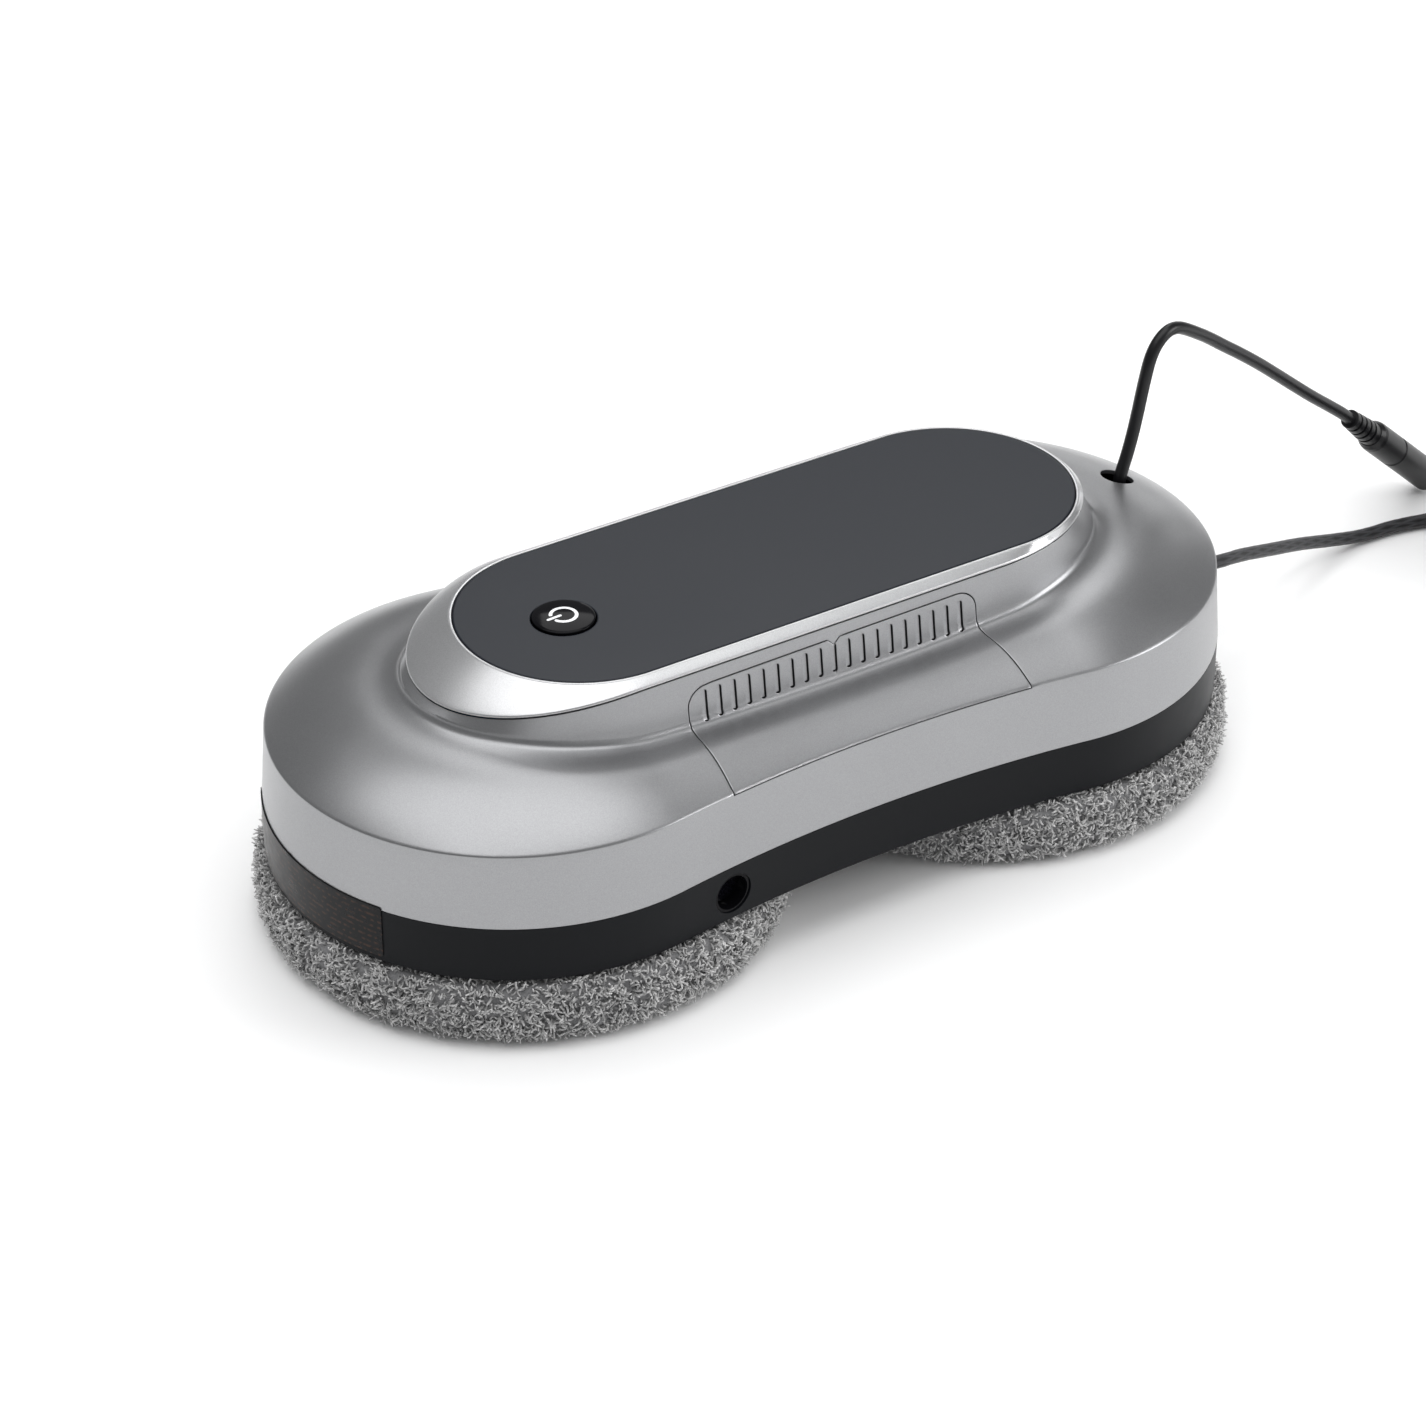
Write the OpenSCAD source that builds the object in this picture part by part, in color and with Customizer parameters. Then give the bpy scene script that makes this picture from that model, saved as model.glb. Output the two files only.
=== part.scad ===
// Window cleaning robot with two turning discs, a suction fan, a safety rope and a power lead.
// Millimetres, +Z up. X runs along the machine towards the lead, and the origin is on the
// surface it stands on, midway between the two discs.

/* [Body] */
// Radius of the round ends of the case
end_r = 69.4; // [67:0.1:71]
// Distance from the middle to the centre of each round end
end_x = 76.6; // [75:0.1:78]
// Half width of the case at the waist
waist_w = 63.5; // [61:0.1:65]
// Height of the underside of the case
case_z = 20; // [19.5:0.1:20.5]
// Height of the joint between the lower case and the top shell
part_z = 36.3; // [35.8:0.1:36.8]
// Height of the rim between the upright band and the sloping top
rim_z = 58.6; // [57:0.1:60]
// Inward draft of the band from the joint to the rim
band_draft = 1.6; // [1:0.1:2]
// Wall thickness of the mouldings
wall = 2.4; // [2:0.1:2.6]

/* [Top shell] */
// Half width of the neck where it rises from the sloping top
neck_w = 40.2; // [40:0.1:41]
// Length of the neck from the middle towards the button end
neck_near = 106.8; // [106:0.1:108]
// Length of the neck from the middle towards the lead end
neck_far = 107.8; // [107:0.1:109]
// Radius of the fillet at the foot of the neck
foot_r = 3; // [2:0.1:3.5]
// Radius of the hole that the power lead comes out of
lead_hole_r = 4.9; // [4.5:0.1:5.5]

/* [Vents] */
// Number of slots in each vent panel
slots = 19; // [9:2:19]
// Distance between slots
slot_pitch = 4.6; // [4.4:0.1:4.6]
// Width of a slot
slot_w = 1.6; // [1.2:0.1:2]

/* [Bezel and glass] */
// Half width of the bezel at its outer lower edge
bezel_w = 38.7; // [38.5:0.1:39]
// Height of the bezel's lower edge along the sides
bezel_z = 80.5; // [80:0.1:80.6]
// Radius of the round ends of the glass
glass_r = 34.8; // [34.5:0.1:35]
// Distance between the centres of the glass's two round ends
glass_l = 121.4; // [120:0.1:122]
// Shift of the glass towards the lead end
glass_x = 5.4; // [5:0.1:6]
// Height of the glass's upper face
glass_z = 82.9; // [82.6:0.1:83]

/* [Power button] */
// Distance of the button from the middle, towards the plain end
button_x = 61; // [58:0.5:64]
// Radius of the button
button_r = 8.6; // [8.5:0.1:9.1]
// Travel of the button
button_travel = 1; // [0.6:0.1:1]

/* [Discs and pads] */
// Distance from the middle to each disc's axis
disc_x = 75.5; // [75.5:0.1:76]
// Outer radius of the cleaning pad
pad_r = 74.6; // [73:0.1:74.8]
// Radius of the open middle of the pad
pad_bore_r = 44; // [42:0.5:45]
// Radius of the disc that carries the pad
disc_r = 67.5; // [66:0.1:67.6]
// Radius of the disc's shaft
shaft_r = 4; // [3.5:0.1:4]

/* [Gear drive] */
// Module of every gear
gear_module = 1.2; // [1.2]
// Teeth on the gear of the disc's shaft
output_teeth = 45; // [45]
// Teeth on the small gear of the middle pair
small_teeth = 14; // [14]
// Teeth on the large gear of the middle pair
large_teeth = 36; // [36]
// Teeth on the motor's pinion
pinion_teeth = 12; // [12]
// Direction from a disc's axis to its middle pair, in degrees
middle_a = -60; // [-60]
// Direction from the middle pair to the motor, in degrees
motor_a = 68; // [68]
// Radius of a drive motor
motor_r = 12; // [11:0.5:12]

/* [Fan] */
// Radius of the fan wheel
fan_r = 26; // [22:0.5:26]
// Number of fan blades
fan_blades = 11; // [7:1:13]
// Radius of the fan's motor
fan_motor_r = 14; // [12:0.5:14]

/* [Cords] */
// Radius of the power lead
lead_r = 1.9; // [1.8:0.1:2]
// Radius of the safety rope
rope_r = 2; // [1.8:0.1:2]
// Radius of the coil at the middle of its turns
coil_r = 23; // [20:0.5:24]
// Turns side by side in the coil
coil_across = 5; // [4:1:5]
// Layers of turns in the coil
coil_layers = 6; // [5:1:6]

/* [Hidden] */
$fn = 64;

silver = [0.66, 0.66, 0.68];
charcoal = [0.13, 0.14, 0.15];
pad_grey = [0.62, 0.62, 0.61];
steel = [0.75, 0.75, 0.77];
inner_black = [0.10, 0.10, 0.11];
board_green = [0.07, 0.29, 0.16];
gear_white = [0.88, 0.88, 0.84];

// ---- outline of the case -------------------------------------------------------------
// The case is two round ends joined by hollow arcs. A place on a quarter of the outline is
// q: 0 at the middle of the waist, 1 where the arcs meet and 2 at the tip of the end.
waist_r = (end_x * end_x + waist_w * waist_w - end_r * end_r) / (2 * (end_r - waist_w));
waist_y = waist_w + waist_r;
meet_a = atan2(end_x, waist_y);
end_a = 90 + meet_a;

// Point of the quarter outline, moved inwards by d
function body_pt(q, d) = q <= 1
  ? [(waist_r + d) * sin(q * meet_a), waist_y - (waist_r + d) * cos(q * meet_a)]
  : [end_x + (end_r - d) * cos(end_a * (2 - q)), (end_r - d) * sin(end_a * (2 - q))];

module body_2d(d) {
  difference() {
    union() {
      for (s = [-1, 1]) translate([s * end_x, 0]) circle(end_r - d, $fn = 180);
      square([2 * end_x, 2 * (end_r - d) * cos(meet_a)], center = true);
    }
    for (s = [-1, 1]) translate([0, s * waist_y]) circle(waist_r + d, $fn = 720);
  }
}

// ---- outlines of neck, bezel and glass -----------------------------------------------
// Each is a straight side with an elliptical end: centre cx, length a and half width b.
neck_q = 64.4;
function oval_pt(q, cx, a, b) = q <= 1
  ? [q * neck_q, b * sqrt(1 - pow(max(0, q * neck_q - cx) / a, 2))]
  : let (first = acos(max(0, neck_q - cx) / a))
    let (lead = max(0, cx - neck_q))
    let (arc = first / 90 * PI / 2 * sqrt((a * a + b * b) / 2))
    let (s = (q - 1) * (lead + arc))
    s < lead ? [neck_q + s, b]
    : let (phi = first * (1 - (s - lead) / arc)) [cx + a * cos(phi), b * sin(phi)];

neck_cx = 57;
bezel_cx = [60, 56.8];
bezel_tip = [104.8, 104.4];
bezel_dip = [6.6, 0.6];
glass_cx = [glass_l / 2 - glass_x, glass_l / 2 + glass_x];

// side is 0 towards the button end and 1 towards the lead end
function foot_pt(side, q, d) =
  let (tip = side == 1 ? neck_far : neck_near)
  oval_pt(q, neck_cx, tip - neck_cx - d, neck_w - d);
function bezel_pt(side, q, d) =
  oval_pt(q, bezel_cx[side], bezel_tip[side] - bezel_cx[side] - d, bezel_w - d);
function glass_pt(side, q, d) = oval_pt(q, glass_cx[side], glass_r - d, glass_r - d);
function bezel_low(side, q) =
  let (x = bezel_pt(side, q, 0)[0])
  let (far = max(0, x - bezel_cx[side]) / (bezel_tip[side] - bezel_cx[side]))
  bezel_z - bezel_dip[side] * pow(far, 1.5);

// ---- profile of the top shell --------------------------------------------------------
// How far the slope rises over a run of length l from the rim to the foot of the neck
function rise(l) = 0.37 * l - 1.35;
function bend(t) = 1 - pow(1 - t, 2.2);

function xyz(p, z) = [p[0], p[1], z];
function mix(a, b, t) = a + (b - a) * t;
rim_in = band_draft + 0.8;
foot_end_a = 80;
slope_t = [0.06, 0.16, 0.28, 0.42, 0.56, 0.7, 0.84, 0.94];
neck_t = [0.53, 0.64, 1];

// Outer and inner points of one station, from the joint up to the edge of the roof
function shell_outer(side, q) =
  let (s = body_pt(q, rim_in))
  let (w = foot_pt(side, q, 0))
  let (u = (s - w) / norm(s - w))
  let (f = w + foot_r * u)
  let (up = rise(norm(s - f)))
  let (zf = rim_z + up)
  let (a = xyz(w + foot_r * (1 - sin(foot_end_a)) * u, zf + foot_r * (1 - cos(foot_end_a))))
  let (b = xyz(bezel_pt(side, q, 0.3), bezel_low(side, q) - 0.2))
  concat(
    [xyz(body_pt(q, 0), part_z + 0.05),
     xyz(body_pt(q, band_draft), rim_z - 0.9),
     xyz(body_pt(q, band_draft + 0.25), rim_z - 0.3),
     xyz(s, rim_z)],
    [for (t = slope_t) xyz(mix(s, f, t), rim_z + up * bend(t))],
    [xyz(f, zf)],
    [for (v = [25, 50, foot_end_a]) xyz(w + foot_r * (1 - sin(v)) * u, zf + foot_r * (1 - cos(v)))],
    [for (t = neck_t) mix(a, b, t)],
    [xyz(glass_pt(side, q, 4.5), glass_z - 2.3)]
  );
function shell_inner(side, q) =
  let (s = body_pt(q, rim_in))
  let (s_in = body_pt(q, band_draft + wall + 0.6))
  let (w = foot_pt(side, q, 0))
  let (u = (s - w) / norm(s - w))
  let (f = w + foot_r * u)
  let (up = rise(norm(s - f)))
  let (zf = rim_z + up)
  let (r = foot_r + wall)
  let (a = xyz(w + (foot_r - r * sin(foot_end_a)) * u, zf + foot_r - r * cos(foot_end_a)))
  let (b = xyz(bezel_pt(side, q, 0.3 + wall), bezel_low(side, q) - 0.3 - wall))
  concat(
    [xyz(body_pt(q, wall), part_z + 0.05),
     xyz(body_pt(q, band_draft + wall), rim_z - 0.5 - wall),
     xyz(body_pt(q, band_draft + wall + 0.25), rim_z - 0.2 - wall),
     xyz(s_in, rim_z - wall)],
    [for (t = slope_t) xyz(mix(s_in, f, t), rim_z + up * bend(t) - wall)],
    [xyz(f, zf - wall)],
    [for (v = [25, 50, foot_end_a]) xyz(w + (foot_r - r * sin(v)) * u, zf + foot_r - r * cos(v))],
    [for (t = neck_t) mix(a, b, t)],
    [xyz(glass_pt(side, q, 4.5), glass_z - 2.3 - wall)]
  );
rim_ring = 3;
slot_low_ring = 14;
slot_high_ring = 16;
panel_top_ring = 17;
ring_count = 20;

// A station is [x sign, y sign, q]; a full turn runs anticlockwise from the front's middle
seam_q = 0.722;
waist_steps = concat([for (i = [0 : 5]) seam_q * i / 6], [for (i = [0 : 2]) mix(seam_q, 1, i / 3)]);
quarter = concat(waist_steps, [for (i = [0 : 20]) 1 + i / 20]);
last = len(quarter) - 1;
turn = concat(
  [for (i = [0 : last]) [1, -1, quarter[i]]],
  [for (i = [last - 1 : -1 : 0]) [1, 1, quarter[i]]],
  [for (i = [1 : last]) [-1, 1, quarter[i]]],
  [for (i = [last - 1 : -1 : 1]) [-1, -1, quarter[i]]]
);
function placed(st, pts) = [for (p = pts) [st[0] * p[0], st[1] * p[1], p[2]]];
function side_of(st) = st[0] > 0 ? 1 : 0;

// ---- a skin with thickness, from two grids of points; open cells are left out --------
module skin(outer, inner, loop, open) {
  n = len(outer);
  m = len(outer[0]);
  cells_i = loop ? n : n - 1;
  function o(i, j) = (i % n) * m + j;
  function k(i, j) = n * m + (i % n) * m + j;
  function wrap(i) = loop ? (i + n) % n : i;
  function solid(i, j) = (loop || (i >= 0 && i < cells_i)) && j >= 0 && j < m - 1
    && !open[wrap(i)][j];
  function quad(a, b, c, d) = [[a, b, c], [a, c, d]];
  faces = [
    for (i = [0 : cells_i - 1]) for (j = [0 : m - 2]) if (solid(i, j))
      each concat(
        quad(o(i, j), o(i, j + 1), o(i + 1, j + 1), o(i + 1, j)),
        quad(k(i, j), k(i + 1, j), k(i + 1, j + 1), k(i, j + 1)),
        solid(i, j - 1) ? [] : quad(o(i, j), o(i + 1, j), k(i + 1, j), k(i, j)),
        solid(i, j + 1) ? []
          : quad(o(i + 1, j + 1), o(i, j + 1), k(i, j + 1), k(i + 1, j + 1)),
        solid(i - 1, j) ? [] : quad(o(i, j + 1), o(i, j), k(i, j), k(i, j + 1)),
        solid(i + 1, j) ? []
          : quad(o(i + 1, j), o(i + 1, j + 1), k(i + 1, j + 1), k(i + 1, j))
      )
  ];
  polyhedron([for (r = outer) each r, for (r = inner) each r], faces);
}

// ---- sweep of a round cord along a list of points ------------------------------------
function unit(v) = v / norm(v);
function heading(path, i) = unit(path[min(i + 1, len(path) - 1)] - path[max(i - 1, 0)]);
// Catmull-Rom point between path[i] and path[i + 1]
function smooth_pt(path, i, t) =
  let (p0 = path[max(i - 1, 0)])
  let (p1 = path[i])
  let (p2 = path[i + 1])
  let (p3 = path[min(i + 2, len(path) - 1)])
  0.5 * (2 * p1 + (p2 - p0) * t + (2 * p0 - 5 * p1 + 4 * p2 - p3) * t * t
    + (3 * p1 - p0 - 3 * p2 + p3) * t * t * t);
module cord_tube(path, r, sides) {
  n = len(path);
  pts = [
    for (i = [0 : n - 1])
      let (d = heading(path, i))
      let (a = unit(cross(d, abs(d[1]) < 0.9 ? [0, 1, 0] : [1, 0, 0])))
      let (b = cross(d, a))
      for (s = [0 : sides - 1])
        path[i] + r * cos(360 * s / sides) * a + r * sin(360 * s / sides) * b
  ];
  caps = [[for (s = [0 : sides - 1]) s], [for (s = [sides - 1 : -1 : 0]) (n - 1) * sides + s]];
  walls = [
    for (i = [0 : n - 2]) for (s = [0 : sides - 1])
      each [
        [i * sides + s, (i + 1) * sides + s, (i + 1) * sides + (s + 1) % sides],
        [i * sides + s, (i + 1) * sides + (s + 1) % sides, i * sides + (s + 1) % sides]
      ]
  ];
  polyhedron(pts, concat(caps, walls));
}

// ---- outer mouldings -----------------------------------------------------------------
lead_hole_p = [127.4, 2.5];
lead_p = [128.4, 2.6];
function in_waist(st, limit) = st[2] <= limit + 0.001;

module top_shell() {
  outer = [for (st = turn) placed(st, shell_outer(side_of(st), st[2]))];
  inner = [for (st = turn) placed(st, shell_inner(side_of(st), st[2]))];
  n = len(turn);
  open = [
    for (i = [0 : n - 1]) [
      for (j = [0 : ring_count - 1])
        in_waist(turn[i], seam_q) && in_waist(turn[(i + 1) % n], seam_q)
        && j >= rim_ring && j < panel_top_ring
    ]
  ];
  color(silver)
    difference() {
      skin(outer, inner, true, open);
      translate([lead_hole_p[0], lead_hole_p[1], rim_z]) cylinder(h = 20, r = lead_hole_r, $fn = 48);
    }
}

// Stations of a vent panel: its ends, and both edges of each slot
panel_gap = 0.15;
panel_q = seam_q - panel_gap / 66;
function slot_q(i, edge) = ((i - (slots - 1) / 2) * slot_pitch + edge * slot_w / 2) / neck_q;
panel_stations = concat(
  [-panel_q],
  [for (i = [0 : slots - 1]) for (e = [-1, 1]) slot_q(i, e)],
  [panel_q]
);
module vent_panel(y_side) {
  rows = [
    for (v = panel_stations)
      let (st = [v < 0 ? -1 : 1, y_side, abs(v)])
      [st, shell_outer(side_of(st), st[2]), shell_inner(side_of(st), st[2])]
  ];
  function trimmed(p) = concat(
    [mix(p[rim_ring], p[rim_ring + 1], 0.12)],
    [for (j = [rim_ring + 1 : panel_top_ring - 1]) p[j]],
    [mix(p[panel_top_ring - 1], p[panel_top_ring], 0.9)]
  );
  outer = [for (r = rows) placed(r[0], trimmed(r[1]))];
  inner = [for (r = rows) placed(r[0], trimmed(r[2]))];
  open = [
    for (i = [0 : len(rows) - 1]) [
      for (j = [rim_ring : panel_top_ring])
        i % 2 == 1 && i < 2 * slots && j >= slot_low_ring && j < slot_high_ring
    ]
  ];
  color(silver)
    if (y_side < 0) skin(outer, inner, false, open);
    else skin(inner, outer, false, open);
}
module vent_panel_front() { vent_panel(-1); }
module vent_panel_back() { vent_panel(1); }

module bezel_ring() {
  top_lip = 0.9;
  fit = 0.35;
  function outer_pts(side, q) =
    let (low = xyz(bezel_pt(side, q, 0), bezel_low(side, q) + 0.35))
    let (high = xyz(glass_pt(side, q, -top_lip), glass_z - 0.1))
    [xyz(bezel_pt(side, q, 0.1), bezel_low(side, q)),
     low,
     mix(low, high, 0.33) + [0, 0, 0.012 * norm(high - low)],
     mix(low, high, 0.67) + [0, 0, 0.012 * norm(high - low)],
     high,
     xyz(glass_pt(side, q, -fit), glass_z)];
  function inner_pts(side, q) =
    let (low = xyz(bezel_pt(side, q, 0.5), bezel_low(side, q)))
    let (high = xyz(glass_pt(side, q, -fit), glass_z - 2.15))
    [low,
     mix(low, high, 0.15),
     mix(low, high, 0.4),
     mix(low, high, 0.7),
     high,
     high + [0, 0, 0.6]];
  outer = [for (st = turn) placed(st, outer_pts(side_of(st), st[2]))];
  inner = [for (st = turn) placed(st, inner_pts(side_of(st), st[2]))];
  open = [for (st = turn) [for (j = [0 : 6]) false]];
  color(silver) skin(outer, inner, true, open);
}

module glass_panel() {
  thick = 2.1;
  color(charcoal)
    difference() {
      translate([glass_x, 0, glass_z - 0.05 - thick])
        linear_extrude(thick) {
          for (s = [-1, 1]) translate([s * glass_l / 2, 0]) circle(glass_r, $fn = 180);
          square([glass_l, 2 * glass_r], center = true);
        }
      translate([-button_x, 0, glass_z - 5]) cylinder(h = 10, r = button_r + 0.4);
    }
}

module power_button() {
  skirt_r = button_r - 0.3;
  top = glass_z + 1.05;
  dome_r = 68;
  dome_z = top - dome_r;
  edge_z = dome_z + sqrt(dome_r * dome_r - button_r * button_r);
  crown = [
    for (i = [0 : 8])
      let (a = asin(button_r / dome_r) * (1 - i / 8))
      [dome_r * sin(a), dome_z + dome_r * cos(a)]
  ];
  color(inner_black)
    translate([-button_x, 0, 0])
      rotate_extrude()
        polygon(concat(
          [[0, 77.7], [3, 77.7], [3, 79], [button_r + 1.2, 79], [button_r + 1.2, 80.2],
           [skirt_r, 80.2], [skirt_r, glass_z + 0.1], [button_r, glass_z + 0.4],
           [button_r, edge_z - 0.01]],
          crown
        ));
}

module button_guide() {
  color(inner_black)
    translate([-button_x, 0, 77])
      difference() {
        cylinder(h = 3.7, r = 12.5);
        translate([0, 0, -1]) cylinder(h = 6, r = button_r + 1.5);
      }
}

module tact_switch() {
  color(steel)
    translate([-button_x, 0, 0]) {
      translate([-3, -3, 75.25]) cube([6, 6, 0.7]);
      translate([0, 0, 75.95]) cylinder(h = 0.35, r = 1.6);
    }
}

// ---- lower case ----------------------------------------------------------------------
floor_t = 2.4;
window_in = 16;
window_out = 38;
screw_places = [[20, 54], [-20, 54], [20, -54], [-20, -54], [132, 0], [-132, 0]];
boss_top = 26;
shaft_boss_r = 11;
shaft_boss_top = 27;
bushing_r = 7;

sensor_a = asin(49.5 / waist_r);
sensor_z = 27.8;
sensor_hole_r = 6;
// Moves to the wall of the sensor, with +Z pointing out of the case
module at_sensor() {
  p = [-waist_r * sin(sensor_a), -(waist_y - waist_r * cos(sensor_a))];
  translate([p[0], p[1], sensor_z]) rotate([0, 0, sensor_a]) rotate([90, 0, 0]) children();
}

// Six arched windows round a shaft, in plan
module windows_2d() {
  difference() {
    circle(window_out);
    circle(window_in);
    for (a = [0 : 60 : 120]) rotate(a + 30) square([2 * window_out + 2, 5], center = true);
  }
}

module lower_case() {
  color(charcoal)
    difference() {
      union() {
        difference() {
          translate([0, 0, case_z]) linear_extrude(part_z - 0.05 - case_z) body_2d(0);
          translate([0, 0, case_z + floor_t]) linear_extrude(part_z) body_2d(wall);
        }
        for (s = [-1, 1]) translate([s * disc_x, 0, case_z])
          cylinder(h = shaft_boss_top - case_z, r = shaft_boss_r);
        for (p = screw_places) translate([p[0], p[1], case_z])
          cylinder(h = boss_top - case_z, r = 6);
      }
      for (s = [-1, 1]) translate([s * disc_x, 0, case_z - 1]) {
        cylinder(h = 20, r = bushing_r + 0.02);
        linear_extrude(1 + floor_t + 0.01) windows_2d();
      }
      for (p = screw_places) translate([p[0], p[1], case_z - 1]) {
        cylinder(h = 4, r = 3.1);
        cylinder(h = 20, r = 1.7);
      }
      at_sensor() translate([0, 0, -11.5]) cylinder(h = 18, r = sensor_hole_r);
      translate([end_x + end_r - 6, 0, rope_z]) rotate([0, 90, 0]) cylinder(h = 12, r = 3.5);
    }
}

module rating_label() {
  label_t = 0.25;
  label_z = 21.5;
  label_h = 15.7;
  half_a = 29;
  color(inner_black)
    translate([-end_x, 0, label_z])
      rotate([0, 0, 180 - half_a])
        rotate_extrude(angle = 2 * half_a, $fn = 180)
          translate([end_r + 0.02, 0]) square([label_t, label_h]);
}

module sensor_housing() {
  color(inner_black)
    at_sensor()
      difference() {
        translate([0, 0, -11]) cylinder(h = 10.6, r = sensor_hole_r - 0.1);
        translate([0, 0, -7]) cylinder(h = 12, r = sensor_hole_r - 0.9);
      }
}
module sensor_lens() {
  color([0.2, 0.05, 0.07, 0.8])
    at_sensor() translate([0, 0, -7]) cylinder(h = 2.4, r = sensor_hole_r - 1.3);
}

module lead_gland() {
  color(inner_black)
    translate([lead_p[0], lead_p[1], 0])
      rotate_extrude()
        polygon([[0, 46.42], [8, 46.42], [8, 48.6], [5, 48.6], [3.4, 62.5], [0, 62.5]]);
}

rope_z = 28;
anchor_out = 148;
module rope_anchor() {
  inside = end_x + end_r - 6;
  color(inner_black)
    translate([inside, 0, rope_z])
      rotate([0, 90, 0]) {
        cylinder(h = anchor_out - inside, r = 3.4);
        translate([0, 0, 6.05]) cylinder(h = anchor_out - inside - 6.05, r = 5);
        translate([0, 0, 1]) cylinder(h = 2.4, r = 5);
      }
}

module case_screws() {
  color(steel)
    for (p = screw_places) translate([p[0], p[1], 0]) {
      difference() {
        translate([0, 0, case_z + 0.6]) cylinder(h = 2.35, r = 2.8);
        translate([0, 0, case_z + 0.5]) linear_extrude(1.4) {
          square([3.4, 0.8], center = true);
          square([0.8, 3.4], center = true);
        }
      }
      translate([0, 0, case_z + 2.9]) cylinder(h = 14, r = 1.25);
    }
}

// ---- inner frame, air duct and fan ---------------------------------------------------
duct_r = 42;
duct_t = 1.6;
duct_low = case_z + floor_t + 0.02;
duct_high = 28.6;
frame_low = 44.4;
frame_high = 46.4;
middle_d = gear_module * (output_teeth + small_teeth) / 2;
pair_d = gear_module * (large_teeth + pinion_teeth) / 2;
// Places of the left drive; the right one is the same, turned half round
middle_p = [-disc_x, 0] + middle_d * [cos(middle_a), sin(middle_a)];
motor_p = middle_p + pair_d * [cos(motor_a), sin(motor_a)];
board_post_places = [[26, 22], [-26, 22], [26, -22], [-26, -22]];

module duct_2d(r) {
  for (s = [-1, 1]) translate([s * disc_x, 0]) circle(r, $fn = 120);
  square([2 * disc_x, 2 * r], center = true);
}
module duct_cover() {
  color(gear_white)
    difference() {
      translate([0, 0, duct_low]) linear_extrude(duct_high - duct_low) duct_2d(duct_r);
      translate([0, 0, duct_low - 1])
        linear_extrude(duct_high - duct_low + 1 - duct_t) duct_2d(duct_r - duct_t);
      for (s = [-1, 1]) translate([s * disc_x, 0, duct_low])
        cylinder(h = 10, r = shaft_boss_r + 0.2);
      translate([0, 0, duct_low]) cylinder(h = 10, r = 15);
    }
}

module mid_frame() {
  color(inner_black)
    difference() {
      union() {
        translate([0, 0, frame_low]) linear_extrude(frame_high - frame_low) body_2d(6);
        for (p = screw_places) translate([p[0], p[1], boss_top + 0.05])
          cylinder(h = frame_low - boss_top, r = 4);
      }
      for (p = screw_places) translate([p[0], p[1], boss_top]) cylinder(h = 14, r = 1.3);
      for (s = [0, 180]) rotate([0, 0, s]) {
        translate([-disc_x, 0, frame_low - 1]) cylinder(h = 5, r = shaft_r + 0.06);
        translate([motor_p[0], motor_p[1], frame_low - 1]) cylinder(h = 5, r = 3.3);
        translate([middle_p[0], middle_p[1], frame_low - 1]) cylinder(h = 5, r = 1.55);
        for (m = [-1, 1]) translate([motor_p[0], motor_p[1] + 8 * m, frame_low - 1])
          cylinder(h = 5, r = 1.1);
        translate([-28, 34, frame_low - 1]) cube([56, 14, 5]);
      }
      translate([0, 0, frame_low - 1]) cylinder(h = 5, r = 3.2);
    }
}

fan_low = 28.65;
fan_high = 44.35;
module fan_housing() {
  outer_r = fan_r + 5;
  color(gear_white)
    difference() {
      translate([0, 0, fan_low]) cylinder(h = fan_high - fan_low, r = outer_r, $fn = 96);
      translate([0, 0, fan_low + 1.6])
        cylinder(h = fan_high - fan_low - 3.2, r = outer_r - 2.4, $fn = 96);
      translate([0, 0, fan_low - 1]) cylinder(h = 4, r = 14);
      translate([0, 0, fan_high - 3]) cylinder(h = 5, r = 3.2);
      for (s = [-1, 1]) translate([-16 + 8 * s, s * outer_r - 12, 31]) cube([16, 24, 11]);
    }
}

module fan_wheel() {
  blade_t = 1.2;
  hub_r = 6;
  function blade_side(off) = [
    for (i = [0 : 6])
      let (r = mix(hub_r - 0.5, fan_r - 0.5, i / 6))
      let (a = 55 * pow(i / 6, 0.9))
      r * [cos(a), sin(a)] + off * [-sin(a + 35), cos(a + 35)]
  ];
  far = blade_side(blade_t);
  blade = concat(blade_side(0), [for (i = [len(far) - 1 : -1 : 0]) far[i]]);
  color(gear_white) {
    translate([0, 0, 40.4]) cylinder(h = 1.6, r = fan_r, $fn = 96);
    translate([0, 0, 33]) cylinder(h = 9, r = hub_r);
    translate([0, 0, 33]) linear_extrude(7.41)
      for (b = [0 : fan_blades - 1]) rotate(b * 360 / fan_blades) polygon(blade);
    translate([0, 0, 42]) cylinder(h = 22, r = 1.5);
  }
}

module fan_motor() {
  color(steel)
    difference() {
      union() {
        translate([0, 0, frame_high + 0.05]) cylinder(h = 18, r = fan_motor_r);
        translate([0, 0, frame_low + 0.4]) cylinder(h = 2.2, r = 3);
      }
      translate([0, 0, frame_low]) cylinder(h = 21, r = 1.56);
    }
}

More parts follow.
